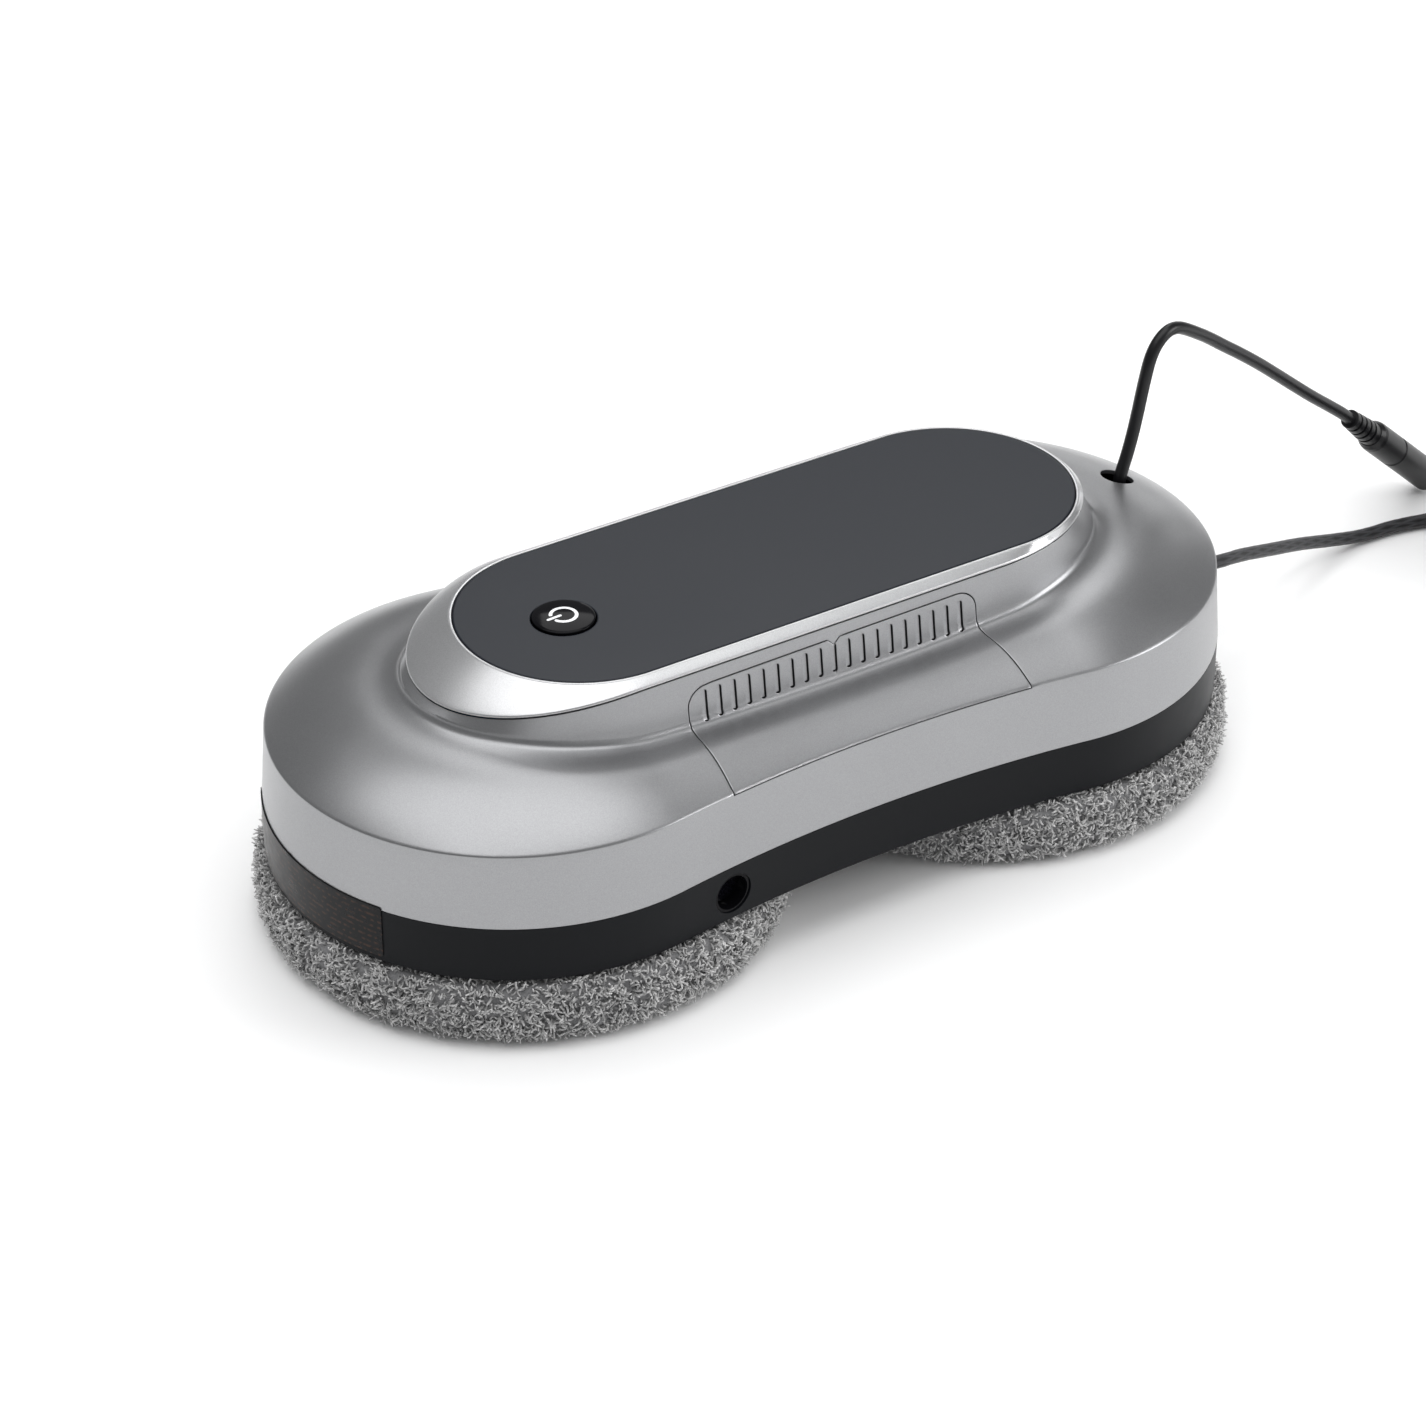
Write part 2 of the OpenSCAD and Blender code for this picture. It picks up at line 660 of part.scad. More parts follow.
// ---- boards and battery --------------------------------------------------------------
board_z = 73.6;
module main_board() {
  color(board_green)
    difference() {
      translate([-84, -28, board_z]) cube([142, 56, 1.6]);
      for (p = board_post_places) translate([p[0], p[1], board_z - 1])
        cylinder(h = 4, r = 1.6);
    }
}
module board_parts() {
  top = board_z + 1.62;
  color(inner_black) {
    translate([-20, -8, top]) cube([14, 14, 1.4]);
    translate([8, 6, top]) cube([8, 10, 1.6]);
    translate([34, -20, top]) cube([16, 8, 3]);
    translate([34, 10, top]) cube([16, 8, 3]);
    translate([-42, -22, top]) cube([10, 6, 2.4]);
    for (x = [-79, 48]) translate([x, 0, top]) cylinder(h = 3.2, r = 3);
  }
}
module board_posts() {
  color(steel)
    for (p = board_post_places) translate([p[0], p[1], 0]) {
      translate([0, 0, frame_high + 0.02]) cylinder(h = board_z - frame_high - 0.04, r = 3);
      translate([0, 0, board_z - 0.05]) cylinder(h = 1.6, r = 1.5);
      translate([0, 0, board_z + 1.62]) cylinder(h = 1.2, r = 2.6);
    }
}

cell_r = 7;
cell_x = [-99, -84.6, -70.2];
module battery_cells() {
  color([0.15, 0.35, 0.55])
    for (x = cell_x) translate([x, 25, frame_high + 1.7 + cell_r]) rotate([90, 0, 0]) {
      cylinder(h = 50, r = cell_r);
      translate([0, 0, -0.9]) cylinder(h = 1, r = 2.6);
    }
}
module battery_holder() {
  color(inner_black)
    difference() {
      translate([-107, -27, frame_high + 0.02]) cube([44, 54, 8]);
      for (x = cell_x) translate([x, 26.2, frame_high + 1.7 + cell_r]) rotate([90, 0, 0])
        cylinder(h = 52.4, r = cell_r + 0.05);
      translate([-disc_x, 0, frame_high - 1]) cylinder(h = 4, r = shaft_r + 0.5);
    }
}

power_z = 50.4;
module power_board() {
  color(board_green) {
    translate([66, -24, power_z]) cube([50, 48, 1.6]);
    for (x = [69, 113]) for (y = [-21, 21]) translate([x, y, frame_high + 0.02])
      cylinder(h = power_z - frame_high, r = 2);
  }
}
module power_parts() {
  top = power_z + 1.62;
  color(inner_black) {
    translate([72, -20, top]) cube([16, 16, 9]);
    for (y = [6, 17]) translate([78, y, top]) cylinder(h = 12, r = 4);
    translate([96, -18, top]) cube([12, 8, 6]);
    translate([98, 8, top]) cube([10, 12, 7]);
  }
}

// ---- gears ---------------------------------------------------------------------------
tooth_play = 0.30;
addendum = 0.85;
function involute(rb, a) = rb * [cos(a) + a * PI / 180 * sin(a), sin(a) - a * PI / 180 * cos(a)];
function polar(r, a) = [r * cos(a), r * sin(a)];
// Flank of a tooth whose middle is on +X: points from root to tip on its lower side
function flank(teeth) =
  let (rp = gear_module * teeth / 2)
  let (rb = rp * cos(20))
  let (ra = rp + addendum * gear_module)
  let (rr = rp - 1.2 * gear_module)
  let (at_pitch = tan(20) * 180 / PI - 20)
  let (half = 90 / teeth - tooth_play / 2 / rp * 180 / PI + at_pitch)
  let (last_a = sqrt(pow(ra / rb, 2) - 1) * 180 / PI)
  let (first_a = rr > rb ? sqrt(pow(rr / rb, 2) - 1) * 180 / PI : 0)
  concat(
    rr > rb ? [] : [polar(rr, -half)],
    [for (i = [0 : 4])
      let (p = involute(rb, mix(first_a, last_a, i / 4)))
      let (a = atan2(p[1], p[0]) - half)
      polar(norm(p), a)]
  );
module gear_2d(teeth) {
  low = flank(teeth);
  high = [for (i = [len(low) - 1 : -1 : 0]) [low[i][0], -low[i][1]]];
  tooth = concat(low, high);
  polygon([
    for (k = [0 : teeth - 1]) for (p = tooth)
      let (a = 360 * k / teeth)
      [p[0] * cos(a) - p[1] * sin(a), p[0] * sin(a) + p[1] * cos(a)]
  ]);
}
// Turns so that one gear's gap faces the other gear's tooth
small_turn = middle_a + 180 + 180 / small_teeth;
pinion_turn = motor_a + 180 + 180 / pinion_teeth;
low_gear_z = 30.4;
high_gear_z = 37.6;

module output_gear() {
  color(gear_white)
    translate([-disc_x, 0, low_gear_z])
      difference() {
        linear_extrude(6) rotate(middle_a) gear_2d(output_teeth);
        translate([0, 0, -1]) cylinder(h = 8, r = shaft_r);
        for (a = [0 : 60 : 300]) rotate([0, 0, a]) translate([15, 0, -1]) cylinder(h = 8, r = 4);
      }
}
module middle_gear() {
  color(gear_white)
    translate([middle_p[0], middle_p[1], 0])
      difference() {
        union() {
          translate([0, 0, low_gear_z])
            linear_extrude(high_gear_z - low_gear_z) rotate(small_turn) gear_2d(small_teeth);
          translate([0, 0, high_gear_z]) linear_extrude(5) rotate(motor_a) gear_2d(large_teeth);
        }
        translate([0, 0, low_gear_z - 1]) cylinder(h = 16, r = 1.55);
      }
}
module pinion() {
  color(steel)
    translate([motor_p[0], motor_p[1], 0]) {
      translate([0, 0, high_gear_z]) linear_extrude(5.6) rotate(pinion_turn) gear_2d(pinion_teeth);
      translate([0, 0, high_gear_z + 5.5]) cylinder(h = 22.4, r = 1);
    }
}
module drive_motor() {
  color(steel)
    translate([motor_p[0], motor_p[1], 0])
      difference() {
        union() {
          translate([0, 0, frame_high + 0.05]) cylinder(h = 25, r = motor_r);
          translate([0, 0, frame_low + 0.2]) cylinder(h = 2.2, r = 3.2);
          translate([0, 0, frame_high + 25]) cylinder(h = 1.4, r = 4);
        }
        translate([0, 0, frame_low]) cylinder(h = 23, r = 1.06);
      }
}
module gear_axles() {
  color(steel)
    for (s = [0, 180]) rotate([0, 0, s])
      translate([middle_p[0], middle_p[1], duct_high + 0.02]) {
        cylinder(h = frame_high - duct_high - 0.1, r = 1.5);
        cylinder(h = 1.2, r = 3);
      }
}
module motor_screws() {
  color(steel)
    for (s = [0, 180]) rotate([0, 0, s]) for (m = [-1, 1])
      translate([motor_p[0], motor_p[1] + 8 * m, 0]) {
        translate([0, 0, frame_low - 0.9]) cylinder(h = 0.85, r = 1.8);
        translate([0, 0, frame_low - 0.1]) cylinder(h = 2.1, r = 1);
      }
}

// ---- disc, pad and what holds them ---------------------------------------------------
disc_low = 13;
disc_high = 16.5;
disc_turn = 0;

module bushing() {
  color([0.72, 0.58, 0.32])
    translate([-disc_x, 0, case_z + 0.1])
      difference() {
        cylinder(h = 9.4, r = bushing_r);
        translate([0, 0, -1]) cylinder(h = 12, r = shaft_r + 0.05);
      }
}
module seal() {
  color(inner_black)
    translate([-disc_x, 0, disc_high + 0.4])
      difference() {
        cylinder(h = case_z - disc_high - 0.42, r = 43, $fn = 96);
        translate([0, 0, -1]) cylinder(h = 6, r = 40, $fn = 96);
      }
}
module shaft() {
  color(steel)
    translate([-disc_x, 0, 0])
      difference() {
        translate([0, 0, 9]) cylinder(h = frame_high - 9.2, r = shaft_r);
        translate([0, 0, 8]) cylinder(h = 12, r = 1.6);
      }
}
module disc() {
  color(charcoal)
    translate([-disc_x, 0, 0])
      difference() {
        union() {
          translate([0, 0, disc_low]) cylinder(h = disc_high - disc_low, r = disc_r, $fn = 120);
          translate([0, 0, 8.9]) cylinder(h = 10.2, r = 12);
          for (a = [0 : 60 : 300]) rotate([0, 0, a + 30 + disc_turn])
            translate([11, -1.2, disc_low - 3]) cube([30, 2.4, 3.1]);
        }
        translate([0, 0, 8]) cylinder(h = 12, r = shaft_r + 0.02);
        translate([0, 0, disc_low - 1]) linear_extrude(disc_high - disc_low + 2)
          rotate(disc_turn) windows_2d();
      }
}
module hook_ring() {
  color(inner_black)
    translate([-disc_x, 0, disc_low - 1.02])
      difference() {
        cylinder(h = 1, r = 66, $fn = 96);
        translate([0, 0, -1]) cylinder(h = 3, r = 47, $fn = 96);
      }
}
module disc_screw() {
  color(steel)
    translate([-disc_x, 0, 0]) {
      difference() {
        translate([0, 0, 6.2]) cylinder(h = 2.6, r = 6.5);
        translate([0, 0, 5]) cylinder(h = 2.6, r = 2.2, $fn = 6);
      }
      translate([0, 0, 8.8]) cylinder(h = 10, r = 1.55);
    }
}
module pad() {
  skirt_in = disc_r + 0.3;
  top = 18.8;
  color(pad_grey)
    translate([-disc_x, 0, 0])
      rotate_extrude($fn = 120)
        polygon([
          [pad_bore_r, 1], [pad_bore_r + 1, 0], [pad_r - 3, 0], [pad_r - 0.8, 1.2],
          [pad_r, 4], [pad_r, 15], [pad_r - 1, 17.8], [pad_r - 3, top],
          [62, top], [62, disc_high + 0.3], [skirt_in, disc_high + 0.3],
          [skirt_in, disc_low - 1.05], [pad_bore_r, disc_low - 1.05]
        ]);
}

module left_bushing() { bushing(); }
module left_seal() { seal(); }
module left_motor() { drive_motor(); }
module left_pinion() { pinion(); }
module left_middle_gear() { middle_gear(); }
module left_output_gear() { output_gear(); }
module left_shaft() { shaft(); }
module left_disc() { disc(); }
module left_hook_ring() { hook_ring(); }
module left_disc_screw() { disc_screw(); }
module left_pad() { pad(); }
module right_bushing() { rotate([0, 0, 180]) bushing(); }
module right_seal() { rotate([0, 0, 180]) seal(); }
module right_motor() { rotate([0, 0, 180]) drive_motor(); }
module right_pinion() { rotate([0, 0, 180]) pinion(); }
module right_middle_gear() { rotate([0, 0, 180]) middle_gear(); }
module right_output_gear() { rotate([0, 0, 180]) output_gear(); }
module right_shaft() { rotate([0, 0, 180]) shaft(); }
module right_disc() { rotate([0, 0, 180]) disc(); }
module right_hook_ring() { rotate([0, 0, 180]) hook_ring(); }
module right_disc_screw() { rotate([0, 0, 180]) disc_screw(); }
module right_pad() { rotate([0, 0, 180]) pad(); }

// ---- power lead ----------------------------------------------------------------------
lead_route = [
  [128.4, 2.6, 62.5], [128.4, 2.6, 65], [129.6, 2.9, 68.6], [131.3, 3.3, 72.8],
  [133.2, 3.7, 78.8], [134.8, 4.1, 84.8], [136.1, 4.4, 90.4], [137.4, 4.6, 96],
  [138.7, 4.9, 100.2], [140.5, 5.3, 103.5], [143.1, 5.8, 106], [146.3, 6.5, 107.2],
  [149.6, 7.2, 106.9], [152.8, 7.9, 105.5], [157.6, 8.9, 102.6], [164.5, 10.4, 98],
  [172, 11.9, 92.5], [180, 13.6, 86.7], [189, 15.5, 79.9], [198, 17.4, 72.7],
  [207, 19.3, 65.4], [216, 21.2, 58.2], [225, 23.2, 51.3], [232.1, 24.7, 45.8],
  [236.6, 25.6, 41.9]
];
socket_start = [236.6, 25.6, 41.9];
socket_end = [280.4, 34.8, 3.5];
socket_dir = unit(socket_end - socket_start);

// Moves to a place along the socket, with +Z pointing out of its mouth
module along_socket(d) {
  p = socket_start + d * socket_dir;
  translate(p)
    rotate([0, 0, atan2(socket_dir[1], socket_dir[0])])
      rotate([0, acos(socket_dir[2]), 0])
        children();
}
relief_l = 15;
socket_l = norm(socket_end - socket_start) - relief_l;
module power_lead() {
  color(inner_black) cord_tube(lead_route, lead_r, 8);
}
module lead_strain_relief() {
  color(inner_black)
    along_socket(0)
      rotate_extrude($fn = 32)
        polygon([
          [0, 0], [3, 0], [3.1, 2], [2.6, 2.1], [2.6, 2.9], [3.2, 3], [3.3, 5], [2.7, 5.1],
          [2.7, 5.9], [3.4, 6], [3.5, 8], [2.9, 8.1], [2.9, 8.9], [3.6, 9], [3.7, 11],
          [3.1, 11.1], [3.1, 11.9], [3.8, 12], [3.8, relief_l], [0, relief_l]
        ]);
}
socket_bore_r = 2.75;
socket_bore_l = 9.5;
module dc_socket() {
  color(inner_black)
    along_socket(relief_l)
      difference() {
        rotate_extrude($fn = 48)
          polygon([
            [0, 0.02], [4, 0.02], [4.8, 1.5], [5, 3], [5, 16], [4.7, 16.4], [4.7, 17.2],
            [5, 17.6], [5, socket_l - 0.6], [4.5, socket_l], [0, socket_l]
          ]);
        translate([0, 0, socket_l - socket_bore_l])
          cylinder(h = socket_bore_l + 1, r = socket_bore_r);
      }
}

// ---- safety rope ---------------------------------------------------------------------
coil_c = [283, -20];
coil_half = coil_across * rope_r;
coil_top = 2 * rope_r * coil_layers;
rope_route = [
  [148, 0, 28], [151, 0, 28], [156, -0.8, 28.2], [165, -1.8, 27.8], [177, 2, 24.2], [193.5, 7.6, 18],
  [210, 13.4, 11.6], [226, 17.6, 5.6], [237.5, 18.8, 2.6], [244.5, 18.6, 2.05],
  [251, 18.2, 2.02], [257, 17.2, 2.02], [263, 15.8, 2.02], [270, 15.1, 2.02],
  [278, 15.1, 2.02], [285, 15.2, 2.02]
];
module safety_rope() {
  color(inner_black) cord_tube(rope_route, rope_r, 8);
}
module rope_coil() {
  color(inner_black)
    translate([coil_c[0], coil_c[1], 0.02])
      rotate_extrude($fn = 72)
        translate([coil_r - coil_half, 0]) square([2 * coil_half, coil_top]);
}

// ---- carabiner on the end of the rope, lying on the coil -----------------------------
hook_bar = 2.1;
hook_w = 9.5;
hook_l = 15;
hook_z = coil_top + hook_bar + 0.1;
pin_r = 1;
module at_hook() {
  translate([coil_c[0], coil_c[1], hook_z]) children();
}
module carabiner() {
  ear_h = 0.6;
  color(steel)
    at_hook() {
      difference() {
        union() {
          for (s = [0, 180]) rotate([0, 0, s]) translate([hook_l, 0, 0])
            rotate([0, 0, -90]) rotate_extrude(angle = 180, $fn = 64)
              translate([hook_w, 0]) circle(hook_bar, $fn = 24);
          translate([-hook_l, hook_w, 0]) rotate([0, 90, 0])
            cylinder(h = 2 * hook_l, r = hook_bar, $fn = 24);
          translate([hook_l - 3, -hook_w, 0]) rotate([0, 90, 0])
            cylinder(h = 3, r = hook_bar, $fn = 24);
          translate([-hook_l, -hook_w, -hook_bar]) cylinder(h = 2 * hook_bar, r = 2.4, $fn = 32);
        }
        translate([-hook_l, -hook_w, ear_h - hook_bar])
          cylinder(h = 2 * (hook_bar - ear_h), r = 3.2, $fn = 32);
      }
      translate([-hook_l, -hook_w, -hook_bar]) cylinder(h = 2 * hook_bar, r = pin_r, $fn = 32);
    }
}
module carabiner_gate() {
  eye_h = 1.1;
  color(steel)
    at_hook()
      translate([-hook_l, -hook_w, 0])
        difference() {
          union() {
            translate([0, 0, -eye_h]) cylinder(h = 2 * eye_h, r = 2.4, $fn = 32);
            rotate([0, 90, 0]) cylinder(h = 2 * hook_l - 3.5, r = eye_h, $fn = 24);
          }
          translate([0, 0, -3]) cylinder(h = 6, r = pin_r + 0.05, $fn = 32);
        }
}
module rope_knot() {
  color(inner_black)
    at_hook()
      translate([hook_l + hook_w + hook_bar + 3.4, 0, 1.2])
        intersection() {
          scale(3.3) sphere(1, $fn = 24);
          cube([20, 20, 6], center = true);
        }
}

// ---- what is drawn -------------------------------------------------------------------
top_shell();
vent_panel_front();
vent_panel_back();
bezel_ring();
glass_panel();
power_button();
button_guide();
tact_switch();
lower_case();
rating_label();
sensor_housing();
sensor_lens();
lead_gland();
rope_anchor();
case_screws();
duct_cover();
mid_frame();
fan_housing();
fan_wheel();
fan_motor();
main_board();
board_parts();
board_posts();
battery_cells();
battery_holder();
power_board();
power_parts();
motor_screws();
gear_axles();
left_bushing();
left_seal();
left_motor();
left_pinion();
left_middle_gear();
left_output_gear();
left_shaft();
left_disc();
left_hook_ring();
left_disc_screw();
left_pad();
right_bushing();
right_seal();
right_motor();
right_pinion();
right_middle_gear();
right_output_gear();
right_shaft();
right_disc();
right_hook_ring();
right_disc_screw();
right_pad();
power_lead();
lead_strain_relief();
dc_socket();
safety_rope();
rope_coil();
rope_knot();
carabiner();
carabiner_gate();
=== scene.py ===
"""Looks of the window cleaning robot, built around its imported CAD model.

Outlines and profiles are worked out in millimetres, as in the part's source, and every
Blender mesh is made in metres. Cord routes are in metres.
"""

import math

import bmesh
import bpy
import numpy as np
from mathutils import Matrix, Vector
from mathutils.geometry import delaunay_2d_cdt


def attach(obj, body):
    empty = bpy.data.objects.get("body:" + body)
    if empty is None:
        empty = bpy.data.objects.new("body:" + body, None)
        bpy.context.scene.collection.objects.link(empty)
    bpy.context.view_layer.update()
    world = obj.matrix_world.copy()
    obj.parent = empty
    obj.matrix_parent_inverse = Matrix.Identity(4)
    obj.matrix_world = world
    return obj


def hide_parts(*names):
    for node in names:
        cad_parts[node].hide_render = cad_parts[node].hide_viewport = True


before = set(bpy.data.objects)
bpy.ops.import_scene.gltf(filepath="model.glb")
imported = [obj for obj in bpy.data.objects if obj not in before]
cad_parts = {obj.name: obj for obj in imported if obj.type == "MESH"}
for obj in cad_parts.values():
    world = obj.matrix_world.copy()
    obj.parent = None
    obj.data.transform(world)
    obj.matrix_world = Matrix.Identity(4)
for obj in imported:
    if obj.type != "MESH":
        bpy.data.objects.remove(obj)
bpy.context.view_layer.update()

MM = 0.001

# ---- sizes of the case, in millimetres ---------------------------------------------------
END_R, END_X, WAIST_W = 69.4, 76.6, 63.5
PART_Z, RIM_Z = 36.3, 58.6
BAND_DRAFT = 1.6
RIM_IN = BAND_DRAFT + 0.8
RIM_DROP = 0.9
SLOPE_TILT, SLOPE_DROP, SLOPE_POWER = 0.37, 1.35, 2.2
NECK_W, NECK_CX, NECK_Q = 40.2, 57.0, 64.4
NECK_TIP = (106.8, 107.8)
FOOT_R, FOOT_START, FOOT_END = 3.0, math.radians(20), math.radians(80)
BEZEL_W, BEZEL_Z = 38.7, 80.5
BEZEL_CX, BEZEL_TIP, BEZEL_DIP = (60.0, 56.8), (104.8, 104.4), (6.6, 0.6)
GLASS_R, GLASS_L, GLASS_X, GLASS_Z = 34.8, 121.4, 5.4, 82.9
GLASS_CX = (GLASS_L / 2 - GLASS_X, GLASS_L / 2 + GLASS_X)
BUTTON_X, BUTTON_R = 61.0, 8.6
SLOTS, SLOT_PITCH, SLOT_W = 19, 4.6, 1.6
LEAD_HOLE, LEAD_HOLE_R = (127.4, 2.5), 4.9
DISC_X, PAD_R, PAD_BORE_R = 75.5, 74.6, 44.0
WAIST_R = (END_X**2 + WAIST_W**2 - END_R**2) / (2 * (END_R - WAIST_W))
WAIST_Y = WAIST_W + WAIST_R
MEET_A = math.atan2(END_X, WAIST_Y)
END_A = math.pi / 2 + MEET_A


# ---- mesh helpers ------------------------------------------------------------------------
def link(obj):
    bpy.context.scene.collection.objects.link(obj)
    return obj


def weld(mesh, gap):
    """Joins points closer than gap metres and turns every face outwards."""
    b = bmesh.new()
    b.from_mesh(mesh)
    bmesh.ops.remove_doubles(b, verts=b.verts, dist=gap)
    bmesh.ops.dissolve_degenerate(b, edges=b.edges, dist=gap)
    bmesh.ops.recalc_face_normals(b, faces=b.faces)
    b.to_mesh(mesh)
    b.free()


def mesh_piece(name, verts_mm, faces, materials, sharp=None, gap=None, face_slots=None):
    """A mesh object from points in millimetres, smooth-shaded except across edges that are
    sharper than sharp degrees. gap is the distance in metres that weld joins points over."""
    mesh = bpy.data.meshes.new(name)
    points = np.asarray(verts_mm, float) * MM
    mesh.from_pydata(points.tolist(), [], faces)
    for material in materials:
        mesh.materials.append(material)
    if face_slots is not None:
        mesh.polygons.foreach_set("material_index", np.asarray(face_slots, np.int32))
    mesh.validate()
    mesh.polygons.foreach_set("use_smooth", [True] * len(mesh.polygons))
    if gap:
        weld(mesh, gap)
    if sharp:
        mesh.set_sharp_from_angle(angle=math.radians(sharp))
    return link(bpy.data.objects.new(name, mesh))


def join_pieces(name, objs):
    """One object from several, with their materials kept."""
    bpy.ops.object.select_all(action="DESELECT")
    for o in objs:
        o.select_set(True)
    bpy.context.view_layer.objects.active = objs[0]
    bpy.ops.object.join()
    objs[0].name = name
    objs[0].data.name = name
    return objs[0]


def grid_faces(rows, columns, rows_closed, columns_closed):
    """Faces between points numbered row by row. A closed direction meets its own start."""
    faces = []
    for i in range(rows if rows_closed else rows - 1):
        k = (i + 1) % rows
        for j in range(columns if columns_closed else columns - 1):
            g = (j + 1) % columns
            faces.append((i * columns + j, k * columns + j, k * columns + g, i * columns + g))
    return faces


def with_z(xy, z):
    return np.concatenate([xy, np.asarray(z + 0 * xy[..., 0])[..., None]], axis=-1)


def unit(v):
    v = np.asarray(v, float)
    return v / np.linalg.norm(v)


def unit_rows(v):
    return v / np.linalg.norm(v, axis=1)[:, None]


def arc_points(cx, cy, r, a0, a1, n):
    a = np.radians(np.linspace(a0, a1, n))
    return [(cx + r * math.cos(t), cy + r * math.sin(t)) for t in a]


def smooth_line(points, per_step):
    """Catmull-Rom curve through the points, with per_step pieces between each two."""
    pts = np.asarray(points, float)
    padded = np.vstack([2 * pts[0] - pts[1], pts, 2 * pts[-1] - pts[-2]])
    out = []
    for i in range(1, len(padded) - 2):
        p0, p1, p2, p3 = padded[i - 1 : i + 3]
        for t in np.arange(per_step) / per_step:
            square = (2 * p0 - 5 * p1 + 4 * p2 - p3) * t**2
            cube = (3 * p1 - p0 - 3 * p2 + p3) * t**3
            out.append(0.5 * (2 * p1 + (p2 - p0) * t + square + cube))
    out.append(pts[-1])
    return np.array(out)


def distances(points):
    """The distance of each point from the first, along the line."""
    steps = np.linalg.norm(np.diff(np.asarray(points, float), axis=0), axis=1)
    return np.concatenate([[0], np.cumsum(steps)])


def evenly(points, step):
    """The same line with points a step apart, as near as its length allows."""
    pts = np.asarray(points, float)
    along = distances(pts)
    count = max(2, int(round(along[-1] / step)) + 1)
    places = np.linspace(0, along[-1], count)
    return np.column_stack([np.interp(places, along, pts[:, k]) for k in range(3)])


def crosswise(path):
    """Two directions across the path at each of its points, which turn as little as they can."""
    heading = np.gradient(path, axis=0)
    heading /= np.linalg.norm(heading, axis=1)[:, None]
    across = np.zeros_like(path)
    a = unit(np.cross(heading[0], (0, 0, 1) if abs(heading[0][2]) < 0.9 else (1, 0, 0)))
    for i in range(len(path)):
        a = unit(a - heading[i] * np.dot(a, heading[i]))
        across[i] = a
    return across, np.cross(heading, across)


def wrap_tube(mesh, sides, along, radius):
    """Coordinates on a tube: turns round it, and the way along it in its own girths."""
    uv = mesh.uv_layers.new(name="round_and_along")
    where = np.zeros(len(mesh.loops) * 2)
    for poly in mesh.polygons:
        places = [i % sides for i in poly.vertices]
        wraps = len(places) == 4 and max(places) - min(places) > 1
        for loop in poly.loop_indices:
            v = mesh.loops[loop].vertex_index
            where[2 * loop] = 1.0 if wraps and v % sides == 0 else (v % sides) / sides
            where[2 * loop + 1] = along[v // sides] / (2 * np.pi * radius)
    uv.data.foreach_set("uv", where)


def tube(name, path, radius, sides, material, bump=None):
    """A closed tube in metres along path. bump(turn, along) moves its surface out, in metres."""
    path = np.asarray(path, float)
    n = len(path)
    across, other = crosswise(path)
    turn = np.arange(sides) / sides
    along = distances(path)
    r = np.full((n, sides), radius, float)
    if bump is not None:
        r = r + bump(turn[None, :], along[:, None])
    ang = 2 * np.pi * turn
    one_way = (r * np.cos(ang))[:, :, None] * across[:, None, :]
    other_way = (r * np.sin(ang))[:, :, None] * other[:, None, :]
    points = (path[:, None, :] + one_way + other_way).reshape(-1, 3)
    faces = grid_faces(n, sides, False, True)
    faces.append(tuple(range(sides)))
    faces.append(tuple((n - 1) * sides + s for s in range(sides - 1, -1, -1)))
    obj = mesh_piece(name, points / MM, faces, [material], 60)
    wrap_tube(obj.data, sides, along, radius)
    return obj


def lathed(cx, r, z, turn):
    """Points of a profile turned about the upright axis at x = cx, a row for each turn."""
    return np.stack([cx + r * np.cos(turn), r * np.sin(turn), z + 0 * turn], axis=-1)


# ---- moulded skins cut from a flat outline -----------------------------------------------
GUARD = 0.2  # how far inside each rounded border a row of points keeps the face flat
HALF_ROUND = 0.3  # share of a border's rounding at which a middle row of points lies


def offset_loop(loop, d):
    """The loop moved to its left by d: inwards if it runs anticlockwise, as an outline does,
    and outwards if it runs clockwise, as a hole does."""
    before = loop - np.roll(loop, 1, axis=0)
    after = np.roll(loop, -1, axis=0) - loop
    before /= np.linalg.norm(before, axis=1)[:, None]
    after /= np.linalg.norm(after, axis=1)[:, None]
    n1 = np.column_stack([-before[:, 1], before[:, 0]])
    n2 = np.column_stack([-after[:, 1], after[:, 0]])
    mid = n1 + n2
    scale = 2 * d / np.maximum(np.sum(mid * mid, axis=1), 0.5)
    return loop + mid * scale[:, None]


def inside_loop(p, loop):
    x, y = loop[:, 0], loop[:, 1]
    x2, y2 = np.roll(x, -1), np.roll(y, -1)
    crosses = (y > p[1]) != (y2 > p[1])
    with np.errstate(divide="ignore", invalid="ignore"):
        at = x + (p[1] - y) * (x2 - x) / (y2 - y)
    return bool(np.sum(crosses & (p[0] < at)) % 2)


def in_patch(p, loops):
    return inside_loop(p, loops[0]) and not any(inside_loop(p, h) for h in loops[1:])


def away_from(points, loops, gap):
    """Grid points that are inside the patch and at least gap from its borders."""
    loops = [np.asarray(loop, float) for loop in loops]
    borders = np.vstack(loops)
    kept = []
    for p in points:
        if np.min(np.sum((borders - p) ** 2, axis=1)) > gap * gap and in_patch(p, loops):
            kept.append(p)
    return np.array(kept)


